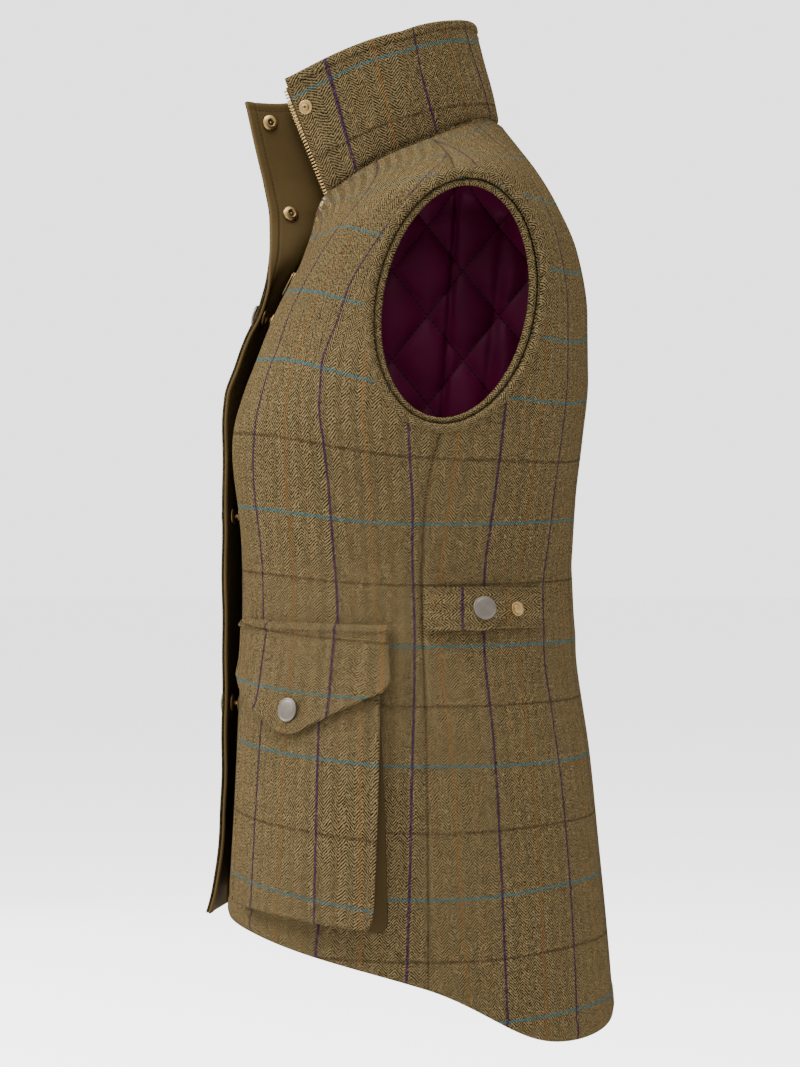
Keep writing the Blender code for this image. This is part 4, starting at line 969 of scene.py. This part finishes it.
# Tapes lie under the front edges. A tooth is a tube of rounded boxes across the zip, with a waist
# behind its head, and the teeth of the two sides are half a pitch apart.
def makeZip():
    ring = np.linspace(zipper["foot"], zipper["head"], zipper["rows"])
    angle, ring = gridOf(edgeAngle(ring, zipper["tapeFrom"]), edgeAngle(ring, -zipper["under"]), ring, 10)
    points, normal, _ = frameAt(angle, ring)
    deep = zipDepth(ring)
    ways = borderWays(points)
    edge = rolled(np.minimum.reduce(ways), 0.9)
    rise = 0.15 * bell(ways[0], 0.8) - deep
    outer, inner = skins(points, normal, rise, zipper["tapeWall"], edge)
    cloth = np.stack([ways[0], ways[2]], -1)
    addPair("zipTape", outer, inner, cloth, "tape", "moleskin", "zip_tape")
    ring = np.linspace(zipper["foot"], zipper["head"], 2400)
    line, normal, _ = frameAt(edgeAngle(ring, zipper["middle"]), ring)
    line = line + normal * (zipper["proud"] - zipDepth(ring) - 0.5 * zipper["teethWall"])[:, None]
    line[:, 0] = np.maximum(line[:, 0], 1.7)
    way = wayAlong(line)
    long, high, deepHalf = np.array([
        (-1.9, 0.30, 0.6), (-1.8, 0.55, 0.95), (-1.5, 0.66, 1.15), (0.0, 0.66, 1.2), (0.5, 0.46, 1.0),
        (0.9, 0.50, 1.1), (1.3, 0.66, 1.15), (1.65, 0.60, 1.0), (1.8, 0.30, 0.6),
    ]).T
    turn = (np.arange(zipper["sides"]) + 0.5) * 2 * np.pi / zipper["sides"]
    boxy = [np.sign(f) * np.abs(f) ** 0.5 for f in (np.cos(turn), np.sin(turn))]
    wide, deep = high[:, None] * boxy[0], deepHalf[:, None] * boxy[1]
    local = np.stack([wide.ravel(), np.repeat(long, zipper["sides"]), deep.ravel()], -1)
    one = tubeFaces(len(long), zipper["sides"])
    for side, flip, late in (("left", 1, 0.0), ("right", -1, 0.5)):
        at = np.arange(zipper["pitch"] * (0.5 + late), way[-1] - 1, zipper["pitch"])
        centre, out = pathAt(line, way, at), pathAt(normal, way, at)
        run = pathAt(line, way, at + 0.4) - centre
        run /= np.linalg.norm(run, axis=1, keepdims=True)
        out -= run * (out * run).sum(1, keepdims=True)
        out /= np.linalg.norm(out, axis=1, keepdims=True)
        across = np.cross(out, run)
        centre, run, out, across = [v * (flip, 1, 1) for v in (centre, run, out, across)]
        faces = one if flip > 0 else one[:, ::-1]
        addCopies(f"zipTeeth{side.title()}", local, faces, centre, run, across, out, "brass",
                  [f"zip_teeth_{side}"])


makeZip()

puller = {
    "ring": 10.3, "bodyLong": (-5.5, -5.3, -4.6, -2.5, 0.0, 2.2, 3.8, 4.9, 5.4, 5.5),
    "bodyHalf": (1.2, 2.2, 2.7, 3.0, 3.3, 3.8, 4.0, 3.5, 2.4, 1.2), "thick": 2.6, "pinUp": 2.5,
    "tabLong": (0.8, 0.7, 0.2, -0.8, -3.0, -5.0, -9.0, -13.0, -15.6, -16.7, -17.1, -17.2),
    "tabHalf": (0.5, 1.0, 1.5, 1.75, 1.5, 1.6, 2.0, 2.25, 2.2, 1.7, 1.1, 0.5), "tabThick": 1.2,
}


# The slider and its pull are tubes of flat rounded rings along the zip. A small arch holds the pull.
def makeSlider():
    low, centre, high = surfaceAt(0.0, puller["ring"] + np.array([-0.25, 0.0, 0.25]))
    up = (high - low) / np.linalg.norm(high - low)
    across = np.array([1.0, 0.0, 0.0])
    out = np.cross(across, up)
    foot, thick = zipper["proud"] - form["wall"], puller["thick"]
    sides = 24
    turn = (np.arange(sides) + 0.5) * 2 * np.pi / sides
    boxy = [np.sign(f) * np.abs(f) ** 0.55 for f in (np.cos(turn), np.sin(turn))]

    def flatTube(name, middle, along, half, thickHalf, nodes, body):
        along, half, thickHalf = [np.asarray(v, float)[:, None] for v in (along, half, thickHalf)]
        tube = [grid.ravel() for grid in (along + 0 * turn, half * boxy[0], thickHalf * boxy[1])]
        addCopies(name, np.stack(tube, -1), tubeFaces(len(along), sides), middle[None], up[None],
                  across[None], out[None], "brass", nodes, body)

    middle = centre + out * (foot + thick / 2)
    long = np.array(puller["bodyLong"])
    ends = np.clip((5.6 - np.abs(long)) / 1.2, 0.25, 1) ** 0.5
    flatTube("zipSlider", middle, long[::-1], np.array(puller["bodyHalf"])[::-1], thick / 2 * ends[::-1],
             ["zip_slider"], "garment")
    pin = centre + up * puller["pinUp"] + out * (foot + thick + zipper["gap"] + puller["tabThick"] / 2)
    long = np.array(puller["tabLong"])
    ends = np.clip((long + 17.4) / 0.9, 0.3, 1) ** 0.5 * np.clip((1.0 - long) / 0.8, 0.3, 1) ** 0.5
    flatTube("zipPull", pin, long, puller["tabHalf"], puller["tabThick"] / 2 * ends, ["zip_pull"], "pull")
    bow = np.linspace(0, np.pi, 13)
    arch = pin + up * (2.0 * np.cos(bow))[:, None] + out * (1.5 * np.sin(bow) - 1.2)[:, None]
    ahead = up * (-np.sin(bow))[:, None] + out * (np.cos(bow) * 0.75)[:, None]
    ahead /= np.linalg.norm(ahead, axis=1, keepdims=True)
    upright = np.cross(ahead, across)
    wide, thin = np.cos(turn)[None, :, None], 0.45 * np.sin(turn)[None, :, None]
    ring = arch[:, None] + wide * across + thin * upright[:, None]
    addPiece("sliderArch", ring[::-1].reshape(-1, 3), tubeFaces(len(bow), sides), "brass")


makeSlider()
print("zip made")

placket = {
    "columns": ("ring", "x", "y", "z"),
    "edge": (
        (0.05, 29, -145.5, -557), (0.32, 29, -141, -541), (1.18, 30, -135, -487), (1.80, 30, -133.5, -440),
        (4, 30, -133.5, -304), (6, 30, -133.5, -207), (6.95, 29.5, -132, -176), (7.70, 28, -124, -152),
        (8.45, 26, -116, -130), (9.15, 22, -108, -112), (10.2, 12, -102, -88), (11.5, -6, -100, -63),
        (12.4, -20, -100.5, -39), (13.1, -27, -105, -14), (13.4, -29, -111, 12), (13.94, -31, -120, 51),
    ),
    "outer": 2.0, "facing": 1.6, "clear": 0.9, "attached": 18.0, "overSlider": 11.0,
    "bend": 2.0, "bendUp": 1.0, "bendRoom": 0.35, "over": 7.0, "overUp": 2.4, "straight": 0.5,
    "towardsFree": 0.38, "late": 0.55, "bow": 0.18, "places": (0.0, 0.30, 0.52, 0.76, 1.0),
    "lower": 0.5, "spread": 1.1, "smooth": 12, "rows": 420, "across": 70, "stitchIn": 7.0,
    "topStitchIn": 6.0, "wrinkledAt": 12.6,
}


# A line of points, each the mean of its neighbours within a window.
def evened(line):
    window = placket["smooth"]
    padded = np.pad(line, ((window, window), (0, 0)), mode="reflect", reflect_type="odd")
    total = np.cumsum(padded, axis=0)
    before = np.vstack([np.zeros((1, 3)), total[:-2 * window - 1]])
    return (total[2 * window:] - before) / (2 * window + 1)


# The placket's outer surface: cubic pieces through five knots, from the right front over the zip to
# its free edge.
def placketSurface(ring, free, share):
    def right(beyond, out):
        return movedOut(edgeAngle(ring, beyond), ring, out) * (-1, 1, 1)

    lift = placket["outer"] + placket["facing"] + zipper["gap"] + placket["clear"]
    room = placket["overSlider"] * bell(ring - puller["ring"] + placket["lower"], placket["spread"])
    start = right(-placket["attached"], lift)
    bend = right(-placket["bend"], lift + placket["bendUp"] + placket["bendRoom"] * room)
    over = right(placket["over"], lift + placket["overUp"] + room)
    line = bend + placket["towardsFree"] * (free - bend)
    middle = over + placket["straight"] * (line - over)
    rest = middle + placket["late"] * (free - middle) + placket["bow"] * (middle - bend)
    knots = np.stack([*[evened(line) for line in (start, bend, middle, rest)], free])
    where = np.array(placket["places"])
    slope = np.gradient(knots, where, axis=0)
    i = np.clip(np.searchsorted(where, share, side="right") - 1, 0, 3)
    step = (where[i + 1] - where[i])[:, None, None]
    w = (share - where[i])[:, None, None] / step
    out = knots[i] * (1 + 2 * w) * (1 - w) ** 2 + knots[i + 1] * w ** 2 * (3 - 2 * w)
    out = out + step * (slope[i] * w * (1 - w) ** 2 - slope[i + 1] * w ** 2 * (1 - w))
    return np.swapaxes(out, 0, 1)


def gridNormals(points):
    normal = np.cross(np.gradient(points, axis=1), np.gradient(points, axis=0))
    return normal / np.linalg.norm(normal, axis=-1, keepdims=True)


def makePlacket():
    at = np.linspace(0, len(placket["edge"]) - 1, placket["rows"])
    rows = [(i, *row) for i, row in enumerate(placket["edge"])]
    ring, *free = [along(rows, at, 1 + k) for k in range(4)]
    outer = placketSurface(ring, np.stack(free, -1), np.linspace(0, 1, placket["across"]))
    normal = gridNormals(outer)
    ways = borderWays(outer)
    stitched, topStitched = placket["stitchIn"], placket["topStitchIn"]
    welt = welted(ways[1], stitched, 0.25, 0.5) + welted(ways[3], topStitched, 0.2, 0.4)
    sag = 0.5 * np.sin(ways[2] / 31) * np.sin(ways[2] / 13 + 1) * np.clip(1 - ways[1] / 30, 0, 1)
    edge = rolled(np.minimum.reduce(ways), 2.0)
    wall = placket["outer"]
    front = outer + normal * (welt + sag - 0.4 * wall * (1 - edge))[..., None]
    back = outer - normal * (wall - sag - 0.4 * wall * (1 - edge))[..., None]
    weft = sampled("weft", edgeAngle(ring, 0.0), ring)[:, None] * check["down"] + 0 * ways[0]
    cloth = np.stack([-ways[0] - 20, weft], -1)
    addWall("placketTweed", front, back, cloth, "tweed", "tweed", ["placket_outer"])
    addStitches("placketStitches", [lineAt(front, normal, ways[1], stitched, 1, 6),
                                    lineAt(front, normal, ways[3], topStitched, 0, 7)], "thread", size=0.8)
    first = wall + zipper["gap"]
    wrinkle = 0.8 * np.sin(ways[2] / 17 + ways[1] / 21) * np.sin(ways[1] * np.pi / 50)
    wrinkle = wrinkle * bell(ring[:, None] - placket["wrinkledAt"], 1.2)
    soft = welted(ways[1], stitched, 0.55, 0.7) + welted(ways[3], topStitched, 0.4, 0.6) + wrinkle
    front = outer - normal * (first - sag - 0.1 * wall * (1 - edge))[..., None]
    deep = first + placket["facing"] + soft - sag - 0.5 * placket["facing"] * (1 - edge)
    back = outer - normal * deep[..., None]
    cloth = np.stack([ways[1], ways[2]], -1)
    piece = addWall("placketFacing", front, back, cloth, "moleskin", "moleskin", ["placket_facing"])
    addStitches("facingStitches", [lineAt(back, -normal, ways[1], stitched, 1, 6),
                                   lineAt(back, -normal, ways[3], topStitched, 0, 7)], "oliveThread",
                size=0.75)


makePlacket()
print("placket made")

pocket = {
    "frontTop": (27, -347), "frontFoot": (26, -544), "sideTop": (79, -350), "sideFoot": (81.5, -556),
    "insetTop": 2.5, "insetFoot": 15.0, "sideOut": 7.5, "footOut": 5.0,
    "standTop": 4.0, "standFront": 9.0, "standSide": 17.0, "crown": 4.0,
    "wall": 1.7, "across": 165.0, "down": 198.0, "corner": 0.09, "cornerIn": 0.35, "clear": 0.8, "gap": 0.3,
    "columns": 120, "rows": 140, "weltIn": 5.0,
    "gussetFoot": 0.985, "gussetTop": 0.03, "gussetWall": 1.3, "pleat": 7.0,
    "bagWarp": (0.735, -0.025, 0.385), "bagWeft": (0.408, 0.056, 0.443),
    "flapWarp": (0.808, -0.10, 0.47), "flapWeft": (0.187, 0.058, 0.443),
    "flapEdge": ((0, 0.18), (0.06, 0.215), (0.52, 0.375), (0.61, 0.375), (0.94, 0.25), (1, 0.225)),
    "flapTop": -0.055, "flapOver": 0.02, "flapWall": 1.8, "flapClear": 0.7, "seat": 0.8, "sewnTo": 0.035,
    "ridge": 2.3, "ridgeAt": -0.035, "ridgeWide": 0.018, "flapLift": 1.8,
}


# Angle and ring of a place on the pocket, between the places of its four corners.
def pocketPlaces(u, w):
    rings = np.linspace(0, 4.5, 4000)
    corner = {}
    for name in ("frontTop", "frontFoot", "sideTop", "sideFoot"):
        degrees, z = pocket[name]
        heights = surfaceAt(np.radians(degrees) + 0 * rings, rings)[:, 2]
        corner[name] = np.array([np.radians(degrees), np.interp(z, heights, rings)])
    u, w = np.asarray(u, float)[..., None], np.asarray(w, float)[..., None]
    top = corner["frontTop"] * (1 - u) + corner["sideTop"] * u
    foot = corner["frontFoot"] * (1 - u) + corner["sideFoot"] * u
    place = top * (1 - w) + foot * w
    return place[..., 0], place[..., 1]


def pocketStand(u, w):
    u, down = np.clip(u, 0, 1), np.clip(w, 0, 1)
    foot = pocket["standFront"] + (pocket["standSide"] - pocket["standFront"]) * u
    stand = pocket["standTop"] + (foot - pocket["standTop"]) * down ** 0.9
    return stand + pocket["crown"] * 4 * u * (1 - u) * np.sin(np.pi * down) ** 0.8


def bagPlace(u, w):
    inset = (pocket["insetTop"] + (pocket["insetFoot"] - pocket["insetTop"]) * w) / pocket["across"]
    into = np.clip((w - 1 + pocket["corner"]) / pocket["corner"], 0, 1)
    inset = inset + pocket["cornerIn"] * pocket["corner"] * (1 - np.sqrt(1 - 0.96 * into ** 2))
    wider = 1 - 2 * inset + pocket["sideOut"] / pocket["across"]
    return inset + wider * u, w * (1 - pocket["footOut"] / pocket["down"])


# The bag: its stand off the panel, welts along its sides and foot, and two soft hanging folds.
def makeBags():
    u, w = np.meshgrid(np.linspace(0, 1, pocket["columns"]), np.linspace(1, 0, pocket["rows"]))
    u, w = bagPlace(u, w)
    angle, ring = pocketPlaces(u, w)
    points, normal, _ = frameAt(angle, ring)
    ways = borderWays(points)
    welt = pocket["weltIn"]
    rise = pocketStand(u, w) + 0.5 * np.sin(3.2 * np.pi * u + 1.5 * w) * np.sin(np.pi * w)
    rise += welted(np.minimum(ways[0], ways[1]), welt, 0.8, 0.6) + 0.9 * bell(ways[2], 5)
    edge = rolled(np.minimum.reduce(ways), 2.4)
    outer, inner = skins(points, normal, rise, pocket["wall"], edge)
    start, lean, pitch = pocket["bagWarp"]
    foot, slope, tall = pocket["bagWeft"]
    up = -(w - foot - slope * u) / tall * check["down"]
    cloth = np.stack([(u - start - lean * w) / pitch * check["across"], up], -1)
    addPair("pocketBag", outer, inner, cloth, "tweed", "tweed", "pocket_bag")
    paths = [lineAt(outer, normal, ways[k], welt, 1, 4) for k in (0, 1)]
    addStitches("bagStitches", paths + [flipped(path) for path in paths], "thread", size=0.7)


# The gusset: from the panel to the back of the bag's edge, with a pleat folded in down its middle. Its darker
# moleskin is painted shade from the bag.
def makeGussets():
    top, foot = pocket["gussetTop"], pocket["gussetFoot"]
    corners = np.array([(0, top), (0, foot - 0.03), (0.03, foot), (0.97, foot), (1, foot - 0.03), (1, top)])
    size = np.array([pocket["across"], pocket["down"]])
    way = wayAlong(corners * size)
    at = np.linspace(0, way[-1], 360)
    spread = [np.clip(at + shift, 0, way[-1]) for shift in (-4, -2, 0, 2, 4)]
    path = np.mean([pathAt(corners, way, place) for place in spread], axis=0)
    face = np.stack(bagPlace(path[:, 0], path[:, 1] * foot), -1)
    share = np.linspace(0, 1, 26)[:, None]
    place = path * (1 - share[..., None]) + face * share[..., None]
    middle = (np.array([0.5, 0.45]) - place) * size
    inwards = middle / np.linalg.norm(middle, axis=-1, keepdims=True) / size
    pleat = pocket["pleat"] * np.sin(np.pi * share) ** 1.5
    top = pocketStand(*face.T) - pocket["wall"] - 2 * pocket["gap"]
    high = pocket["clear"] * (1 - share) + top * share
    outer, inner = [
        movedOut(*pocketPlaces(*np.moveaxis(place + inwards * deep[..., None], -1, 0)), high)
        for deep in (pleat, pleat + pocket["gussetWall"])
    ]
    cloth = np.stack([share * 20 + 0 * at, at + 0 * share], -1)
    # The pleat look is a darkened moleskin: painted shade under the bag's edge.
    addPair("pocketGusset", outer, inner, cloth, "pleat", "moleskin", "pocket_gusset")


def makeFlaps():
    over = pocket["flapOver"]
    u = np.linspace(-over, 1 + over + pocket["sideOut"] / pocket["across"], 150)
    shares, feet = np.array(pocket["flapEdge"], float).T
    spread = [np.clip(u + shift, 0, 1) for shift in np.linspace(-0.03, 0.03, 7)]
    foot = np.mean([np.interp(place, shares, feet) for place in spread], axis=0)
    foot = foot - 0.045 * np.clip((u - 0.98) / 0.085, 0, 1) ** 3
    w = pocket["flapTop"] + (foot - pocket["flapTop"]) * np.linspace(1, 0, 110)[:, None]
    u = np.broadcast_to(u, w.shape)
    angle, ring = pocketPlaces(u, w)
    points, normal, _ = frameAt(angle, ring)
    ways = borderWays(points)
    hang = np.clip((w - pocket["flapTop"]) / pocket["sewnTo"], 0, 1)
    under = pocket["seat"] + hang * (pocketStand(u, w) + pocket["flapClear"] - pocket["seat"])
    welt = pocket["weltIn"]
    rise = under + pocket["flapWall"]
    rise += pocket["ridge"] * np.exp(-((w - pocket["ridgeAt"]) / pocket["ridgeWide"]) ** 4)
    rise += welted(np.minimum(np.minimum(ways[0], ways[1]), ways[2]), welt, 0.8, 0.6)
    rise += pocket["flapLift"] * bell(ways[2], 10)
    rise += 0.6 * np.sin(2.4 * np.pi * u + 0.6) * np.clip(w / 0.3, 0, 1)
    edge = rolled(np.minimum.reduce(ways), 2.4)
    outer, inner = skins(points, normal, rise, pocket["flapWall"], edge)
    start, lean, pitch = pocket["flapWarp"]
    middle, slope, tall = pocket["flapWeft"]
    up = -(w - middle - slope * u) / tall * check["down"]
    cloth = np.stack([(u - start - lean * w) / pitch * check["across"], up], -1)
    addPair("pocketFlap", outer, inner, cloth, "tweed", "tweed", "pocket_flap")
    paths = [lineAt(outer, normal, ways[0], welt, 1, 8), lineAt(outer, normal, ways[1], welt, 1, 8),
             lineAt(outer, normal, ways[2], welt, 0, 6), lineAt(outer, normal, ways[3], 9.5, 0, 3)]
    addStitches("flapStitches", paths + [flipped(path) for path in paths], "thread", size=0.75)


makeBags()
makeGussets()
makeFlaps()
print("pockets made")

strap = {
    "tab": {"y": (16.0, 69.0), "z": -330.0, "high": 31.0, "wall": 2.0, "point": 12.0},
    "under_tab": {"y": (44.0, 96.0), "z": -329.0, "high": 29.0, "wall": 1.7, "point": 0.0},
    "clear": 1.15, "rise": 2.3, "risenAt": 36.0, "narrows": 0.62, "stitchIn": 2.8,
    "purpleAt": 41.0,
}


# The waist tabs: places on the side view, the upper one blunted to a point and raised over the lower.
def makeTabs():
    paths = []
    for name, node in (("underTab", "under_tab"), ("waistTab", "tab")):
        size = strap[node]
        y = np.linspace(*size["y"], 130)
        narrow = np.clip(1 - (size["y"][1] - y) / size["point"], 0, 1) ** 1.6 if size["point"] else 0 * y
        half = size["high"] / 2 * (1 - strap["narrows"] * narrow)
        z = size["z"] + np.linspace(-1, 1, 60)[:, None] * half
        angle, ring = locate(np.broadcast_to(y, z.shape), z)
        points, normal, _ = frameAt(angle, ring)
        ways = borderWays(points)
        rise = strap["clear"] + size["wall"] + 0 * z
        if name == "waistTab":
            rise = rise + 0.8
            climb = (y - size["y"][0]) / (strap["risenAt"] - size["y"][0])
            rise = rise + strap["rise"] * np.clip(climb, 0, 1) ** 0.8
        rise = rise + welted(np.minimum.reduce([ways[1], ways[2], ways[3]]), strap["stitchIn"], 0.6, 0.4)
        rise = rise + 0.35 * np.sin(y / 9.0) * np.sin(np.linspace(0, 2.4, 60))[:, None]
        outer, inner = skins(points, normal, rise, size["wall"], rolled(np.minimum.reduce(ways), 1.8))
        cloth = np.stack([points[..., 1] - strap["purpleAt"], points[..., 2] - size["z"] + 24], -1)
        addPair(name, outer, inner, cloth, "tweedTurned", "tweed", node)
        paths += [lineAt(outer, normal, ways[k], strap["stitchIn"], 0, 3) for k in (2, 3)]
        paths.append(lineAt(outer, normal, ways[1], strap["stitchIn"], 1, 3))
    addStitches("tabStitches", paths + [flipped(path) for path in paths], "thread", size=0.65)


makeTabs()
print("tabs made")

# Profiles of the turned fittings: radius and height in mm from the middle of the top to the foot.
fittings = {
    "cap": (
        (0.3, 2.38), (2.5, 2.34), (4.8, 2.22), (6.3, 2.02), (6.75, 1.9), (6.95, 1.72), (7.15, 1.7),
        (7.35, 1.88), (7.8, 1.92), (8.25, 1.7), (8.52, 1.3), (8.6, 0.8), (8.55, 0.2), (8.35, 0.0), (0.3, 0.0),
    ),
    "socket": (
        (0.3, 0.5), (2.2, 0.5), (2.45, 0.7), (2.5, 1.8), (2.7, 2.1), (3.1, 2.2), (3.6, 2.12), (4.7, 1.8),
        (5.6, 1.35), (6.1, 0.9), (6.3, 0.45), (6.2, 0.0), (0.3, 0.0),
    ),
    # Well: a thin disc of painted shade on the socket's floor.
    "well": ((0.3, 0.62), (2.3, 0.62), (2.4, 0.56), (2.4, 0.5), (0.3, 0.5)),
    "boss": ((0.2, 1.55), (0.55, 1.5), (0.8, 1.2), (0.85, 0.6), (0.3, 0.6)),
    "flange": (
        (1.8, 1.05), (2.1, 0.85), (2.8, 0.78), (3.1, 1.0), (4.4, 1.02), (5.0, 0.85), (5.35, 0.5), (5.4, 0.1),
        (5.2, 0.0), (0.3, 0.0),
    ),
    "knob": (
        (0.3, -0.6), (0.95, -0.58), (1.1, -0.2), (1.35, 0.0), (1.9, -0.12), (2.3, -0.42), (2.25, -0.75),
        (1.8, -0.95),
    ),
    # Hole: a thin disc of painted shade in the stud's dimple.
    "hole": ((0.2, -0.5), (0.9, -0.5), (0.95, -0.56), (0.2, -0.58)),
    "post": (
        (0.3, 2.2), (1.6, 2.12), (2.7, 1.85), (3.3, 1.35), (3.35, 0.7), (3.45, 0.45), (4.0, 0.45),
        (4.3, 0.85), (4.8, 0.95), (5.15, 0.65), (5.2, 0.1), (5.1, 0.0), (0.3, 0.0),
    ),
    "steps": 64,
}


# A turned CAD node's foot, axis and height. Its points spread least along its axis.
def turnedPlace(node, hint):
    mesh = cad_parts[node].data
    points = np.zeros(len(mesh.vertices) * 3)
    mesh.vertices.foreach_get("co", points)
    points = np.unique(np.round(points.reshape(-1, 3) * 1000, 2), axis=0)
    middle = points.mean(0)
    axis = np.linalg.eigh(np.cov((points - middle).T))[1][:, 0]
    axis = axis * np.sign(axis @ np.asarray(hint, float))
    reach = (points - middle) @ axis
    return middle + axis * reach.min(), axis, reach.max() - reach.min()


# Rings of a profile from the top down, about an axis that stands on a point.
def addTurned(name, profile, foot, axis, look, nodes=()):
    turn = np.arange(fittings["steps"]) * 2 * np.pi / fittings["steps"]
    side = np.cross(axis, (0.0, 0.0, 1.0))
    side /= np.linalg.norm(side)
    circle = np.cos(turn)[:, None] * side + np.sin(turn)[:, None] * np.cross(axis, side)
    radius, high = np.array(profile, float).T
    points = foot + high[:, None, None] * axis + radius[:, None, None] * circle
    faces = tubeFaces(len(profile), fittings["steps"])
    return addPiece(name, points.reshape(-1, 3), faces, look, nodes=nodes)


def makeFittings():
    for number in range(1, 6):
        cap, socket = f"snap_cap_{number}", f"snap_socket_{number}"
        apart = np.array(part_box(cap)[0]) - np.array(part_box(socket)[0])
        foot, axis, _ = turnedPlace(cap, apart)
        addTurned(f"snapCap{number}", fittings["cap"], foot, axis, "nickel", [cap])
        foot, axis, _ = turnedPlace(socket, -axis)
        addTurned(f"snapSocket{number}", fittings["socket"], foot, axis, "brass", [socket])
        # A dark disc on the floor of the socket's hollow: painted shade.
        addTurned(f"socketWellPaintedShade{number}", fittings["well"], foot, axis, "dark")
        addTurned(f"socketBoss{number}", fittings["boss"], foot, axis, "brass")
        foot, axis, high = turnedPlace(f"snap_stud_{number}", (0.5, -1, 0.1))
        knob = [(radius, high + down) for radius, down in fittings["knob"]]
        addTurned(f"snapStud{number}", knob + list(fittings["flange"]), foot, axis, "brass",
                  [f"snap_stud_{number}"])
        # A dark disc at the bottom of the stud's dimple: painted shade.
        hole = [(radius, high + down) for radius, down in fittings["hole"]]
        addTurned(f"studHolePaintedShade{number}", hole, foot, axis, "dark")
    for side, way in (("left", 1), ("right", -1)):
        for node, kind, look, slot, hint in (
            ("pocket_cap", "cap", "nickel", "old_nickel", (way, -0.5, 0)),
            ("tab_cap", "cap", "nickel", "old_nickel", (way, 0.3, 0)),
            ("tab_post", "post", "brass", "brass", (way, 0.4, 0)),
        ):
            foot, axis, _ = turnedPlace(f"{node}_{side}", hint)
            name = node.split("_")[0] + kind.title() + side.title()
            addTurned(name, fittings[kind], foot, axis, look, [f"{node}_{side}"])


makeFittings()
print("fittings made")

studio = {
    "floor": -0.95, "camera": (2.3, -0.0015, -0.2764), "lens": 103.47,
    "world": 2.5,
    "lights": (
        ("key", (0.4, -3.1, 2.1), 2.2, 430.0), ("top", (0.7, -0.2, 2.7), 2.4, 260.0),
        ("fill", (2.9, -0.6, 0.3), 1.6, 14.0), ("rear", (1.0, 3.0, 0.6), 2.2, 14.0),
        ("far", (-2.6, -1.4, 0.4), 2.2, 26.0),
    ),
}


def makeStudio():
    bpy.ops.mesh.primitive_plane_add(size=60, location=(0, 0, studio["floor"]))
    floor = bpy.context.object
    floor.name = "studioFloor"
    paper, tree, shader = newLook("palePaper", 0.9)
    colour = mixed(tree, grain(tree, 400.0, 2.0), (0.93, 0.93, 0.93), (0.96, 0.96, 0.96))
    tree.links.new(colour, shader.inputs["Base Color"])
    floor.data.materials.append(paper)
    world = bpy.data.worlds.new("paleRoom")
    world.use_nodes = True
    world.node_tree.nodes["Background"].inputs["Color"].default_value = (1, 1, 1, 1)
    world.node_tree.nodes["Background"].inputs["Strength"].default_value = studio["world"]
    bpy.context.scene.world = world
    for name, place, size, power in studio["lights"]:
        lamp = bpy.data.lights.new(name, "AREA")
        lamp.size, lamp.energy = size, power
        light = bpy.data.objects.new(name, lamp)
        light.location = place
        light.rotation_euler = (Vector((0, 0, -0.25)) - Vector(place)).to_track_quat("-Z", "Y").to_euler()
        bpy.context.scene.collection.objects.link(light)
    camera = bpy.data.objects.new("camera", bpy.data.cameras.new("camera"))
    camera.data.lens, camera.data.sensor_width = studio["lens"], 36.0
    camera.location = studio["camera"]
    camera.rotation_euler = (np.pi / 2, 0, np.pi / 2)
    bpy.context.scene.collection.objects.link(camera)
    bpy.context.scene.camera = camera


makeStudio()
print("studio made")
